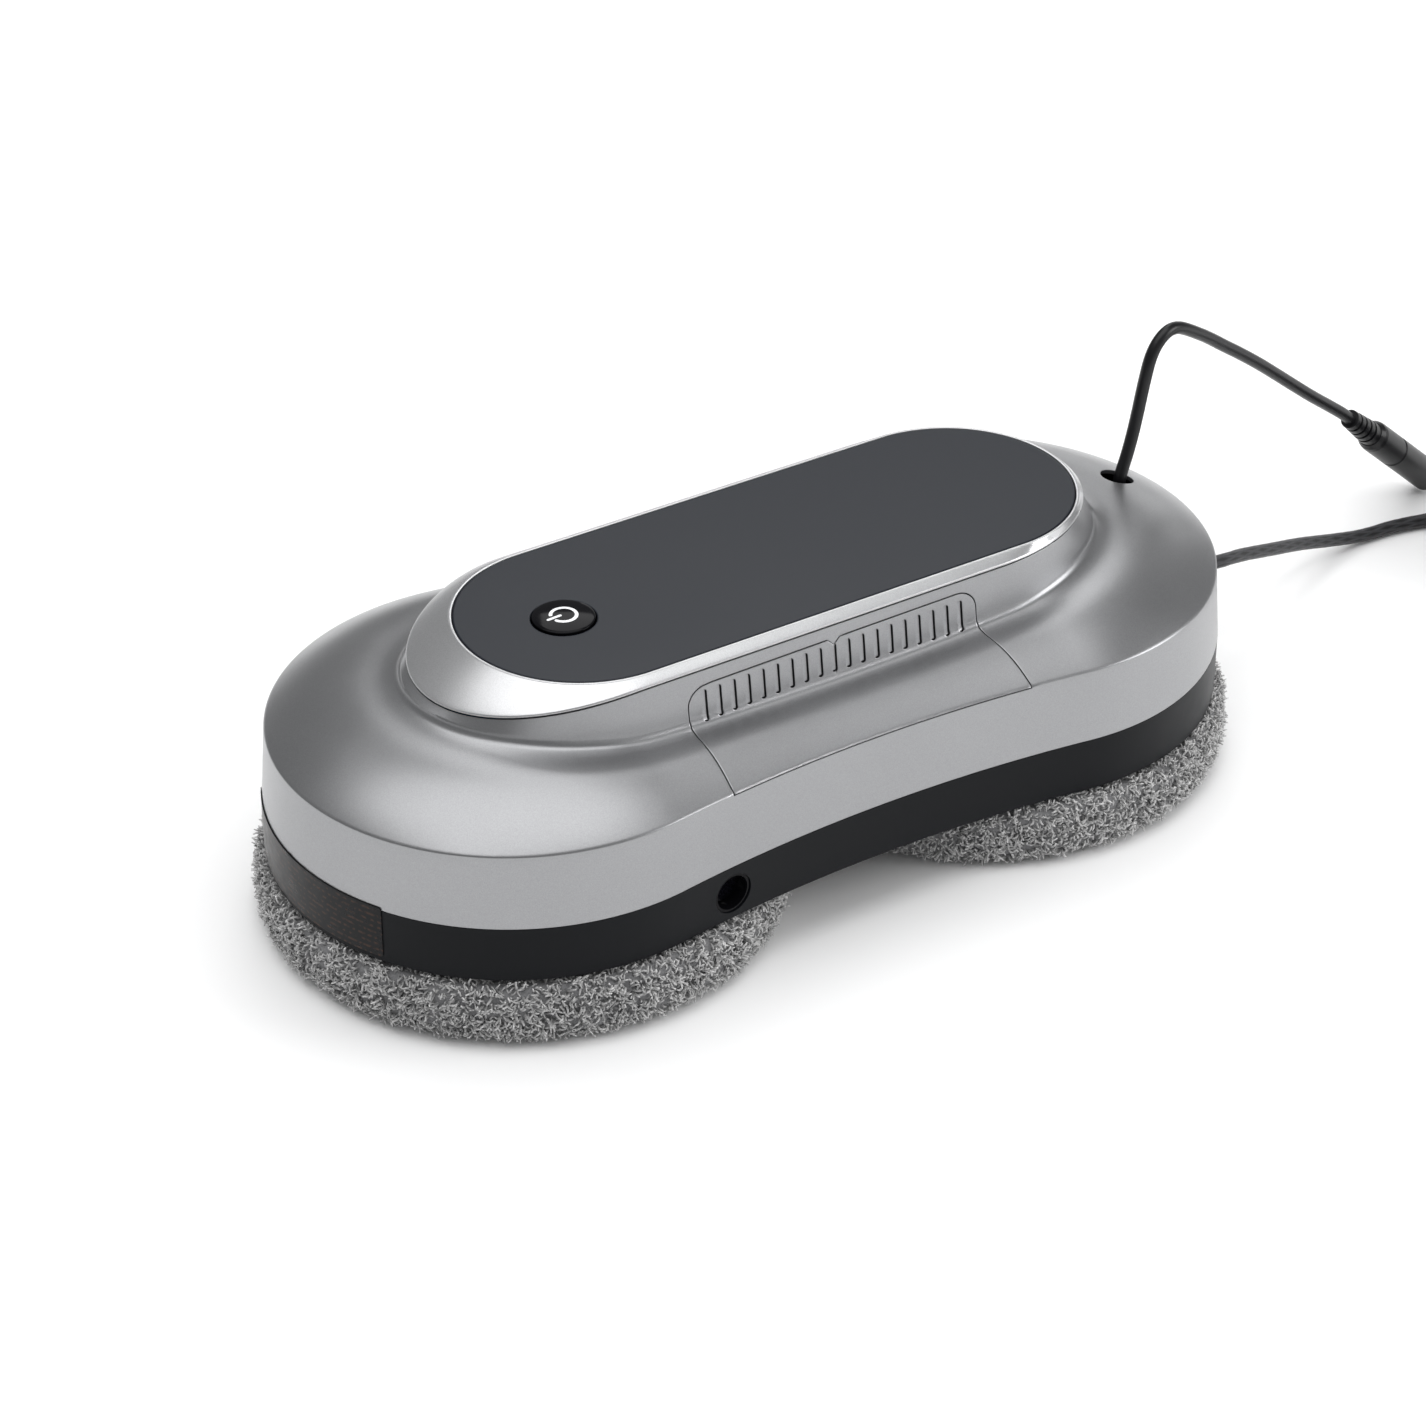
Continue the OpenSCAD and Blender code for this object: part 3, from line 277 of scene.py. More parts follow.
def cut_flat(loops, points):
    """The flat area inside the first loop and outside the others, cut into triangles at its
    borders and at points. Returns the corners, the triangles and each border's corners."""
    flat = [tuple(p) for loop in loops for p in loop] + [tuple(p) for p in points]
    starts = np.cumsum([0] + [len(loop) for loop in loops])
    rows = [list(range(a, b)) for a, b in zip(starts, starts[1:])]
    edges = [pair for ids in rows for pair in zip(ids, ids[1:] + ids[:1])]
    corners, _, tris, origin, _, _ = delaunay_2d_cdt([Vector(p) for p in flat], edges, [], 1, 1e-5)
    corners = np.array([tuple(p) for p in corners])
    tris = [tuple(t) for t in tris if in_patch(corners[list(t)].mean(axis=0), loops)]
    corner_of = {min(o): i for i, o in enumerate(origin) if o}
    return corners, tris, [[corner_of[i] for i in ids] for ids in rows]


def rounded_loops(rims, edge, joined):
    """Where the borders' rounding starts, its middle, and guard points inside it."""
    inset = [offset_loop(r, edge) for r in rims]
    half = [offset_loop(r, edge * HALF_ROUND) for r in rims]
    guard = [offset_loop(r, edge + GUARD) for r in rims]
    at_join = np.isin(rims[0][:, 0], joined)
    for loop in (inset[0], half[0]):
        loop[at_join, 0] = rims[0][at_join, 0]
    guard[0] = guard[0][~at_join]
    return inset, half, away_from(np.vstack(guard), inset, GUARD * 0.7)


def border_rings(verts, first, levels, surface):
    """Rings of new points down a border: the first, then one for each loop and depth."""
    rings = [first]
    for loop, down in levels:
        at, out = surface(loop)
        rings.append(list(range(len(verts), len(verts) + len(loop))))
        verts += list(at - out * down)
    return rings


def patch(name, outline, holes, inside, surface, depth, edge, materials, joined=()):
    """A moulded skin over a flat outline with holes, both lists of 2-D points.

    surface(points) gives the 3-D points in millimetres and their outward normals. Every
    border is rounded by edge and the skin is depth thick. inside is the grid of 2-D points
    that the faces are cut at. The last material is for the inside and the walls of holes;
    its dark colour paints the shade inside the holes.
    joined names the two values of the first coordinate at which a skin that runs right
    round meets itself, so it has no border there.
    """
    rims = [np.asarray(loop, float) for loop in [outline, *holes]]
    inset, half, guards = rounded_loops(rims, edge, joined)
    corners, tris, borders = cut_flat(inset, [*guards, *inside])
    top, normal = surface(corners)
    verts, faces, slots = list(top), list(tris), [0] * len(tris)
    inner = len(materials) - 1
    below = {}
    for k, rim in enumerate(rims):
        levels = ((half[k], edge * HALF_ROUND), (rim, edge), (rim, depth))
        rings = border_rings(verts, borders[k], levels, surface)
        below.update(zip(rings[0], rings[-1]))
        for step, (high, low) in enumerate(zip(rings, rings[1:])):
            for i in range(len(rim)):
                j = (i + 1) % len(rim)
                if k == 0 and rim[i][0] == rim[j][0] and rim[i][0] in joined:
                    continue
                faces.append((high[i], low[i], low[j], high[j]))
                # Walls of holes take the last material, whose dark colour paints the shade in
                # them.
                slots.append(inner if k > 0 and step == 2 else 0)
    for v in dict.fromkeys(v for t in tris for v in t):
        if v not in below:
            below[v] = len(verts)
            verts.append(top[v] - normal[v] * depth)
    faces += [tuple(below[v] for v in reversed(t)) for t in tris]
    slots += [inner] * len(tris)
    used = sorted({v for f in faces for v in f})
    new_id = {v: i for i, v in enumerate(used)}
    faces = [tuple(new_id[v] for v in f) for f in faces]
    return mesh_piece(name, [verts[v] for v in used], faces, materials, 42, 2e-6, slots)


# ---- outlines, from plain arrays of q (0 at the waist, 1 where arcs meet, 2 at the tip) --
def body_xy(q, d):
    low = q <= 1
    a = np.where(low, q, 1) * MEET_A
    b = END_A * (2 - np.where(low, 1, q))
    x = np.where(low, (WAIST_R + d) * np.sin(a), END_X + (END_R - d) * np.cos(b))
    y = np.where(low, WAIST_Y - (WAIST_R + d) * np.cos(a), (END_R - d) * np.sin(b))
    return np.stack([x, y], axis=-1)


def oval_xy(q, cx, a, b):
    x_low = np.minimum(q, 1) * NECK_Q
    y_low = b * np.sqrt(1 - (np.maximum(0, x_low - cx) / a) ** 2)
    first = np.arccos(np.clip(np.maximum(0, NECK_Q - cx) / a, 0, 1))
    lead = np.maximum(0, cx - NECK_Q)
    arc = first * np.sqrt((a * a + b * b) / 2)
    s = (np.maximum(q, 1) - 1) * (lead + arc)
    phi = first * (1 - np.clip((s - lead) / arc, 0, 1))
    straight = s < lead
    x_high = np.where(straight, NECK_Q + s, cx + a * np.cos(phi))
    y_high = np.where(straight, b, b * np.sin(phi))
    low = q <= 1
    return np.stack([np.where(low, x_low, x_high), np.where(low, y_low, y_high)], axis=-1)


def by_side(side, pair):
    return np.where(side > 0, pair[1], pair[0])


def foot_xy(side, q, d):
    return oval_xy(q, NECK_CX, by_side(side, NECK_TIP) - NECK_CX - d, NECK_W - d)


def bezel_xy(side, q, d):
    cx = by_side(side, BEZEL_CX)
    return oval_xy(q, cx, by_side(side, BEZEL_TIP) - cx - d, BEZEL_W - d)


def glass_xy(side, q, d):
    return oval_xy(q, by_side(side, GLASS_CX), GLASS_R - d, GLASS_R - d)


def bezel_low(side, q):
    x = bezel_xy(side, q, 0)[..., 0]
    cx = by_side(side, BEZEL_CX)
    far = np.maximum(0, x - cx) / (by_side(side, BEZEL_TIP) - cx)
    return BEZEL_Z - by_side(side, BEZEL_DIP) * far**1.5


# A place round the case is its distance l, in millimetres, anticlockwise from the front's
# middle. QUARTER is the distance from there to the tip of an end.
END_RUN = 125.0
QUARTER = NECK_Q + END_RUN
AROUND = 4 * QUARTER


def station(l):
    """Signs of x and y, and q, of places round the case."""
    l = np.mod(l, AROUND)
    part = np.floor(l / QUARTER).astype(int) % 4
    m = np.choose(part, [l, 2 * QUARTER - l, l - 2 * QUARTER, AROUND - l])
    sx = np.where(part < 2, 1.0, -1.0)
    sy = np.where((part == 0) | (part == 3), -1.0, 1.0)
    q = np.where(m <= NECK_Q, m / NECK_Q, 1 + (m - NECK_Q) / END_RUN)
    return sx, sy, np.clip(q, 0, 2)


# Heights up the profile: distance h in millimetres at the waist, where each part starts
H_KNOTS = np.array([0.0, 21.4, 22.8, 41.5, 45.7, 59.7])
RIM, SLOPE, FOOT, NECK, TOP = H_KNOTS[1:]


def band_and_rim(q, in_band, in_rim, start_tilt):
    """Points up the upright band, and round the rim above it."""
    z = PART_Z + 0.05 + in_band * (RIM_Z - 0.95 - PART_Z)
    band = with_z(body_xy(q, BAND_DRAFT * in_band), z)
    t = in_rim
    corner_z = RIM_Z - (RIM_IN - BAND_DRAFT) * start_tilt
    inset = (1 - t) ** 2 * BAND_DRAFT + 2 * t * (1 - t) * BAND_DRAFT + t**2 * RIM_IN
    z = (1 - t) ** 2 * (RIM_Z - RIM_DROP) + 2 * t * (1 - t) * corner_z + t**2 * RIM_Z
    return band, with_z(body_xy(q, inset), z)


def fillet_points(foot, away, foot_z, v):
    """Points of the foot's fillet at its angles v, from the slope up to the neck."""
    reach = np.asarray(FOOT_R * (1 - np.sin(v)))
    return with_z(foot + reach[..., None] * away, foot_z + FOOT_R * (1 - np.cos(v)))


def shell_points(l, h):
    """Points of the top shell's outer face at distances l round it and h up its profile."""
    l, h = np.broadcast_arrays(np.asarray(l, float), np.asarray(h, float))
    sx, sy, q = station(l)
    w = np.interp(h, H_KNOTS, np.arange(len(H_KNOTS)))
    in_band, in_rim, in_slope, in_foot, in_neck = (np.clip(w - k, 0, 1) for k in range(5))
    start = body_xy(q, RIM_IN)
    foot = foot_xy(sx, q, 0)
    away = start - foot
    away /= np.linalg.norm(away, axis=-1)[..., None]
    flat_run = np.linalg.norm(start - foot, axis=-1) - FOOT_R
    up = SLOPE_TILT * flat_run - SLOPE_DROP
    foot_z = RIM_Z + up
    run = flat_run + FOOT_R * math.sin(FOOT_START)
    band, rim = band_and_rim(q, in_band, in_rim, SLOPE_POWER * up / run)
    first_rise = FOOT_R * (1 - math.cos(FOOT_START))
    hollow = (math.tan(FOOT_START) * run - 4 * first_rise) / 5
    t = in_slope
    rise = up * (1 - (1 - t) ** SLOPE_POWER) + hollow * (t**9 - t**4) + first_rise * t**4
    end = foot + FOOT_R * (1 - math.sin(FOOT_START)) * away
    slope = with_z(start + (end - start) * t[..., None], RIM_Z + rise)
    arc = fillet_points(foot, away, foot_z, FOOT_START + in_foot * (FOOT_END - FOOT_START))
    low = fillet_points(foot, away, foot_z, FOOT_END)
    high = with_z(bezel_xy(sx, q, 0.3), bezel_low(sx, q) - 0.45)
    wall = low + (high - low) * in_neck[..., None]
    zone = np.clip(np.floor(w), 0, 4).astype(int)[..., None]
    p = np.choose(zone, [band, rim, slope, arc, wall])
    p[..., 0] *= sx
    p[..., 1] *= sy
    return p


def shell_surface(points):
    """Points and outward normals of the top shell's outer face at 2-D places (l, h)."""
    l, h = np.asarray(points, float).T
    step = 0.02
    h = np.clip(h, 0, TOP)
    p = shell_points(l, h)
    along = shell_points(l + step, h) - shell_points(l - step, h)
    up = shell_points(l, np.minimum(h + step, TOP)) - shell_points(l, np.maximum(h - step, 0))
    n = np.cross(along, up)
    return p, n / np.linalg.norm(n, axis=1)[:, None]


def height_at(l, z):
    """The place h up the profile where the foot or the neck's wall is at height z."""
    hs = np.linspace(FOOT, TOP, 141)
    zs = shell_points(np.full(len(hs), float(l)), hs)[:, 2]
    return float(np.interp(z, zs, hs))


# ---- materials ---------------------------------------------------------------------------
class Finish:
    """A material in the making, with its Principled shader and its object coordinates."""

    def __init__(self, name, rough, metallic=0.0, **sockets):
        self.material = bpy.data.materials.new(name)
        self.material.use_nodes = True
        self.tree = self.material.node_tree
        self.bsdf = self.tree.nodes["Principled BSDF"]
        self.bsdf.inputs["Roughness"].default_value = rough
        self.bsdf.inputs["Metallic"].default_value = metallic
        for key, value in sockets.items():
            self.bsdf.inputs[key.replace("_", " ")].default_value = value
        self.place = self.add("ShaderNodeTexCoord").outputs["Object"]

    def add(self, kind, *feeds, **values):
        """A node whose first inputs are fed, in order, by other sockets or by constants."""
        n = self.tree.nodes.new(kind)
        for key, value in values.items():
            if hasattr(n, key):
                setattr(n, key, value)
            else:
                n.inputs[key].default_value = value
        for socket, feed in zip(n.inputs, feeds):
            if isinstance(feed, bpy.types.NodeSocket):
                self.tree.links.new(feed, socket)
            else:
                socket.default_value = feed
        return n

    def math(self, operation, *feeds):
        return self.add("ShaderNodeMath", *feeds, operation=operation).outputs[0]

    def split(self, value):
        return self.add("ShaderNodeSeparateXYZ", value).outputs

    def noise(self, scale, detail):
        n = self.add("ShaderNodeTexNoise", self.place, Scale=scale, Detail=detail, Roughness=0.55)
        return n.outputs["Fac"]

    def spread(self, value, low, high, start=0.3, end=0.7):
        return self.add("ShaderNodeMapRange", value, start, end, low, high).outputs["Result"]

    def colour(self, value, a, b):
        """Base colour, from a where value is 0 to b where it is 1."""
        n = self.add("ShaderNodeMix", value, data_type="RGBA")
        n.inputs[6].default_value = (*a, 1)
        n.inputs[7].default_value = (*b, 1)
        self.tree.links.new(n.outputs[2], self.bsdf.inputs["Base Color"])

    def shade(self, value, colour, low, high):
        """Base colour, from low to high times the given one."""
        self.colour(value, [c * low for c in colour], [min(1, c * high) for c in colour])

    def roughness(self, value, low, high):
        self.tree.links.new(self.spread(value, low, high), self.bsdf.inputs["Roughness"])

    def bumps(self, *layers):
        """Bump layers, each a height and its depth in metres, one on another."""
        last = None
        for height, depth in layers:
            n = self.add("ShaderNodeBump", Strength=1.0, Distance=depth)
            self.tree.links.new(height, n.inputs["Height"])
            if last is not None:
                self.tree.links.new(last, n.inputs["Normal"])
            last = n.outputs["Normal"]
        self.tree.links.new(last, self.bsdf.inputs["Normal"])


def moulded(name, colour, rough, metallic=0.0, grain=1500, grain_depth=0.000012, vary=0.06,
            cloud=45, rough_vary=0.05, **sockets):
    """A moulded, painted or turned surface: fine grain, soft colour and gloss variation."""
    f = Finish(name, rough, metallic, **sockets)
    soft = f.noise(cloud, 4)
    fine = f.noise(grain, 2)
    both = f.math("MULTIPLY_ADD", fine, 0.5, f.math("MULTIPLY", soft, 0.5))
    f.shade(f.spread(both, 0, 1), colour, 1 - vary, 1 + vary)
    f.roughness(soft, rough - rough_vary, rough + rough_vary)
    f.bumps((fine, grain_depth))
    return f.material


def silver_paint(name, colour, rough):
    """Metallic paint: flakes a tenth of a millimetre across under a faint orange peel."""
    f = Finish(name, rough, 0.9, Coat_Weight=0.12, Coat_Roughness=0.25)
    cells = f.add("ShaderNodeTexVoronoi", f.place, Scale=6500.0)
    flakes = f.add("ShaderNodeRGBToBW", cells.outputs["Color"]).outputs[0]
    f.shade(flakes, colour, 0.88, 1.12)
    f.roughness(f.noise(30, 3), rough - 0.03, rough + 0.04)
    f.bumps((f.noise(650, 2), 0.000006), (flakes, 0.000004))
    return f.material


def plush(name, dark, light):
    """Curly pile: each curl has its own tone, with painted shade darkening its root and painted
    light brightening its tip.
    """
    f = Finish(name, 0.85, Sheen_Weight=0.35, Sheen_Roughness=0.5)
    # The shade attribute carries each curl's tone, with painted shade at its root and painted
    # light at its tip.
    own = f.add("ShaderNodeAttribute", attribute_name="shade").outputs["Fac"]
    soft = f.noise(120, 3)
    f.colour(f.spread(f.math("MULTIPLY_ADD", soft, 0.35, own), 0, 1, 0.15, 1.15), dark, light)
    f.roughness(soft, 0.8, 0.95)
    f.bumps((f.noise(4000, 2), 0.00008))
    return f.material


ROPE_STRANDS, ROPE_PITCH = 6, 1.1


def braid(name, colour):
    """Braided cord: strands crossing both ways round it, from the tube's own coordinates. Its
    colour is painted darker in the grooves and lighter on the crests, as shade and highlight.
    """
    f = Finish(name, 0.62, Sheen_Weight=0.25, Sheen_Roughness=0.4)
    uv = f.split(f.add("ShaderNodeUVMap", uv_map="round_and_along").outputs["UV"])
    waves = []
    for way in (1, -1):
        lean = f.math("MULTIPLY", uv["Y"], way * ROPE_PITCH)
        turns = f.math("MULTIPLY_ADD", uv["X"], ROPE_STRANDS, lean)
        waves.append(f.math("SINE", f.math("MULTIPLY", turns, 2 * math.pi)))
    over = f.math("MAXIMUM", *waves)
    # Colour follows the weave: painted shade in the grooves between strands, painted highlight on
    # their crests.
    f.shade(f.spread(over, 0, 1, -0.4, 1), colour, 0.35, 1.9)
    fibre = f.noise(5200, 2)
    f.roughness(fibre, 0.5, 0.75)
    f.bumps((over, 0.00012), (fibre, 0.00003))
    return f.material


def printed_film(name):
    """The label's dark film, with faint plain rows in place of its print."""
    f = Finish(name, 0.34, Specular_IOR_Level=0.16)
    rows_per_m, marks_per_m = 560.0, 700.0
    row = f.math("FRACT", f.math("MULTIPLY", f.split(f.place)["Z"], rows_per_m))
    fine = (marks_per_m, marks_per_m, rows_per_m)
    stretched = f.add("ShaderNodeVectorMath", f.place, fine, operation="MULTIPLY").outputs[0]
    marks = f.add("ShaderNodeTexNoise", stretched, Scale=1.0, Detail=1.0).outputs["Fac"]
    in_row = f.spread(row, 1, 0, 0.3, 0.45)
    ink = f.math("MULTIPLY", in_row, f.spread(marks, 0, 0.5, 0.45, 0.6))
    f.colour(ink, (0.0075, 0.0078, 0.0088), (0.085, 0.042, 0.026))
    f.roughness(f.noise(200, 2), 0.26, 0.36)
    f.bumps((f.noise(2500, 2), 0.000005))
    return f.material


SILVER = silver_paint("silver_paint", (0.34, 0.342, 0.351), 0.31)
BEZEL_SILVER = silver_paint("bezel_paint", (0.62, 0.623, 0.632), 0.30)
GLASS = moulded("dark_glass", (0.0115, 0.0138, 0.019), 0.30, grain=900, grain_depth=0.000002,
                vary=0.03, cloud=18, rough_vary=0.015, Specular_IOR_Level=0.2)
GLOSS = moulded("gloss_black", (0.004, 0.004, 0.005), 0.08, grain=700, grain_depth=0.000001,
                rough_vary=0.02, Specular_IOR_Level=0.08)
MARK = moulded("mark_white", (0.86, 0.87, 0.88), 0.4, grain=3000, grain_depth=0.000004)
CHARCOAL = moulded("charcoal_plastic", (0.0046, 0.0053, 0.0067), 0.40, grain=2600,
                   grain_depth=0.00001, vary=0.15, Specular_IOR_Level=0.13)
INNER = moulded("inner_plastic", (0.016, 0.016, 0.018), 0.5, grain=2200, grain_depth=0.00002,
                vary=0.15)
# A dark colour that paints the shade on the walls of slots and holes; it also colours the skins'
# insides.
PAINTED_SHADE_WALL = moulded("slot_wall_painted_shade", (0.02, 0.02, 0.022), 0.55, grain=2200, grain_depth=0.00001)
WHITE = moulded("white_plastic", (0.72, 0.72, 0.68), 0.45, grain=1800, grain_depth=0.00002)
RUBBER = moulded("black_rubber", (0.006, 0.006, 0.007), 0.33, grain=1900, vary=0.15,
                 Specular_IOR_Level=0.35)
PLUSH = plush("pad_plush", (0.11, 0.11, 0.113), (0.80, 0.795, 0.79))
BACKING = moulded("pad_backing", (0.20, 0.20, 0.205), 0.9, grain=1400, grain_depth=0.00025,
                  vary=0.3)
ROPE = braid("braided_rope", (0.020, 0.020, 0.022))
FELT = moulded("felt", (0.05, 0.05, 0.052), 0.95, grain=2600, grain_depth=0.00012, vary=0.3)
HOOKS = moulded("hook_fastener", (0.04, 0.04, 0.04), 0.8, grain=1200, grain_depth=0.0003,
                vary=0.4)
LABEL = printed_film("label_film")
LENS = moulded("sensor_window", (0.004, 0.004, 0.006), 0.06, grain=900, grain_depth=0.000001,
               rough_vary=0.02)
STEEL = moulded("steel", (0.56, 0.56, 0.58), 0.3, 1.0, grain=1600, grain_depth=0.00001)
CAN = moulded("zinc_can", (0.5, 0.51, 0.53), 0.42, 1.0, grain=600, grain_depth=0.00001,
              vary=0.12)
BOARD = moulded("circuit_board", (0.015, 0.10, 0.05), 0.35, grain=500, grain_depth=0.00003,
                vary=0.25)
BRASS = moulded("brass", (0.7, 0.5, 0.22), 0.3, 1.0)
BRONZE = moulded("bronze", (0.5, 0.33, 0.17), 0.5, 1.0, grain=2600, grain_depth=0.00003)
SLEEVE = moulded("cell_sleeve", (0.05, 0.16, 0.34), 0.3, grain=900)


# ---- camera, floor and light -------------------------------------------------------------
def make_camera():
    data = bpy.data.cameras.new("camera")
    data.lens, data.sensor_width = 106.1, 36.0
    data.clip_start, data.clip_end = 0.05, 50.0
    cam = link(bpy.data.objects.new("camera", data))
    back = Vector((-0.4501, -0.7046, 0.5486)).normalized()
    right = Vector((0, 0, 1)).cross(back).normalized()
    turn = Matrix((right, back.cross(right), back)).transposed().to_4x4()
    cam.matrix_world = Matrix.Translation((-0.5415, -0.8265, 0.6791)) @ turn
    bpy.context.scene.camera = cam


def make_floor():
    """A pale floor just under the pads' lowest curls."""
    half_side, count, height = 30000.0, 9, -0.4
    steps = np.linspace(-half_side, half_side, count)
    verts = [(x, y, height) for y in steps for x in steps]
    faces = [f[::-1] for f in grid_faces(count, count, False, False)]
    finish = Finish("floor", 0.7)
    finish.colour(finish.noise(3, 2), (0.94, 0.94, 0.94), (0.955, 0.955, 0.955))
    mesh_piece("floor", verts, faces, [finish.material])


MIDDLE = (0, 0, 0.05)
LAMPS = (  # name, place, aim, size and watts
    ("over", (-0.1, 0.12, 1.3), (-0.1, 0.12, 0), (1.5, 1.45), 9.2),
    ("front", (0.2, -1.8, 0.6), MIDDLE, (1.6, 0.9), 0.9),
    ("front_right", (1.5, -1.1, 0.8), MIDDLE, (1.0, 1.0), 10.5),
    ("back_right", (0.8, 1.15, 1.25), MIDDLE, (0.75, 0.6), 2.4),
    ("low_right", (1.4, 1.2, 0.45), MIDDLE, (1.0, 0.6), 1.2),
)


def area_light(name, place, aim, size, watts):
    data = bpy.data.lights.new(name, "AREA")
    data.shape = "RECTANGLE"
    data.size, data.size_y = size
    data.energy = watts
    data.spread = math.radians(160)
    lamp = link(bpy.data.objects.new(name, data))
    lamp.location = place
    lamp.rotation_euler = (Vector(aim) - Vector(place)).to_track_quat("-Z", "Y").to_euler()


def make_light():
    world = bpy.data.worlds.new("studio")
    bpy.context.scene.world = world
    world.use_nodes = True
    sky = world.node_tree.nodes["Background"]
    sky.inputs["Color"].default_value = (0.98, 0.99, 1.0, 1)
    sky.inputs["Strength"].default_value = 0.26
    for row in LAMPS:
        area_light(*row)
    even = bpy.data.lights.new("even", "SUN")
    even.energy = 1.35
    even.angle = math.radians(120)
    link(bpy.data.objects.new("even", even)).visible_glossy = False
    view = bpy.context.scene.view_settings
    view.view_transform = "Standard"
    view.look = "None"


make_camera()
make_floor()
make_light()

# ---- power lead and safety rope ----------------------------------------------------------
LEAD_D, ROPE_D = 0.0038, 0.004
LEAD_ROUTE = [
    (0.1284, 0.0026, 0.0625), (0.1284, 0.0026, 0.065), (0.1296, 0.0029, 0.0686),
    (0.1313, 0.0033, 0.0728), (0.1332, 0.0037, 0.0788), (0.1348, 0.0041, 0.0848),
    (0.1361, 0.0044, 0.0904), (0.1374, 0.0046, 0.096), (0.1387, 0.0049, 0.1002),
    (0.1405, 0.0053, 0.1035), (0.1431, 0.0058, 0.106), (0.1463, 0.0065, 0.1072),
    (0.1496, 0.0072, 0.1069), (0.1528, 0.0079, 0.1055), (0.1576, 0.0089, 0.1026),
    (0.1645, 0.0104, 0.098), (0.172, 0.0119, 0.0925), (0.18, 0.0136, 0.0867),
    (0.189, 0.0155, 0.0799), (0.198, 0.0174, 0.0727), (0.207, 0.0193, 0.0654),
    (0.216, 0.0212, 0.0582), (0.225, 0.0232, 0.0513), (0.2321, 0.0247, 0.0458),
    (0.2366, 0.0256, 0.0419),
]
ROPE_ROUTE = [
    (0.148, 0, 0.028), (0.151, 0, 0.028), (0.156, -0.0008, 0.0282), (0.165, -0.0018, 0.0278),
    (0.177, 0.002, 0.0242), (0.1935, 0.0076, 0.018), (0.21, 0.0134, 0.0116),
    (0.226, 0.0176, 0.0056), (0.2375, 0.0188, 0.0026), (0.2445, 0.0186, 0.00205),
    (0.251, 0.0182, 0.00202), (0.257, 0.0172, 0.00202), (0.263, 0.0158, 0.00202),
    (0.27, 0.0151, 0.00202), (0.278, 0.0151, 0.00202), (0.285, 0.0152, 0.00202),
]
COIL_C = (0.283, -0.020)
COIL_IN, COIL_OUT, COIL_ACROSS, COIL_LAYERS = 0.015, 0.031, 4, 6
COIL_START = (0.002, 0.0352)  # where the rope comes in, from the coil's middle
COIL_START_R, COIL_LIFT, STEPS_PER_TURN = 0.0353, 0.00002, 36
KNOT_P = (0.313, -0.020, 0.0274)


def coil_points():
    """The rope's coil, wound inwards and outwards by turns, layer on layer, clockwise."""
    spots = []
    turn = 0.0
    start_a = math.atan2(COIL_START[1], COIL_START[0])

    def lay(turns, r0, r1, z0, z1):
        nonlocal turn
        steps = int(STEPS_PER_TURN * turns)
        for i in range(1, steps + 1):
            t = i / steps
            a = start_a - 2 * math.pi * (turn + turns * t)
            ease = t * t * (3 - 2 * t)
            r = r0 + (r1 - r0) * (t if turns > 1 else ease)
            z = z0 + (z1 - z0) * ease
            spots.append((COIL_C[0] + r * math.cos(a), COIL_C[1] + r * math.sin(a), z))
        turn += turns

    z = ROPE_D / 2 + COIL_LIFT
    lay(0.5, COIL_START_R, COIL_OUT, z, z)
    r0, r1 = COIL_OUT, COIL_IN
    for layer in range(COIL_LAYERS):
        lay(COIL_ACROSS, r0, r1, z, z)
        if layer < COIL_LAYERS - 1:
            lay(0.5, r1, r1, z, z + ROPE_D)
            z += ROPE_D
            r0, r1 = r1, r0
    last_turn = start_a / (2 * math.pi)
    lay((last_turn - turn) % 1, r1, KNOT_P[0] - COIL_C[0], z, KNOT_P[2])
    return spots


def rope_bump(turn, along):
    """Raised strands of the braid, crossing both ways round the rope's part in the view."""
    seen, fade_run, strand_height = 0.16, 0.01, 0.00011
    lean = along * ROPE_PITCH / (math.pi * ROPE_D)
    one = np.sin(2 * np.pi * (ROPE_STRANDS * turn + lean))
    two = np.sin(2 * np.pi * (ROPE_STRANDS * turn - lean))
    fade = np.clip((seen - along) / fade_run, 0, 1)
    return strand_height * fade * (np.maximum(one, two) - 0.45)


def make_lead():
    path = evenly(smooth_line(LEAD_ROUTE, 12), 0.0012)
    lead = tube("power_lead_cord", path, LEAD_D / 2, 20, RUBBER)
    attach(lead, "machine")
    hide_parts("power_lead")


def make_knot():
    """A small knot of the rope's own thickness where it ends on the hook's ring."""
    t = np.linspace(0, 2 * np.pi, 73)[:-1]
    size, squash, tightness = 0.00125, 0.8, 0.82
    x = size * (np.sin(t) + 2 * np.sin(2 * t))
    y = size * (np.cos(t) - 2 * np.cos(2 * t))
    z = -0.6 * size * np.sin(3 * t)
    pts = np.column_stack([y * squash, z, x]) + np.array(KNOT_P)
    ring = np.vstack([pts, pts[:1]])
    knot = tube("rope_end_knot", ring, ROPE_D / 2 * tightness, 14, ROPE)
    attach(knot, "machine")
    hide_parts("rope_knot")
    return knot


def make_rope():
    near = evenly(smooth_line(ROPE_ROUTE, 14), 0.0005)
    coil = np.array(coil_points())
    rope = tube("safety_rope_cord", np.vstack([near, coil]), ROPE_D / 2, 28, ROPE, rope_bump)
    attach(rope, "machine")
    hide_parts("safety_rope", "rope_coil")
    knot = make_knot()


make_lead()
make_rope()


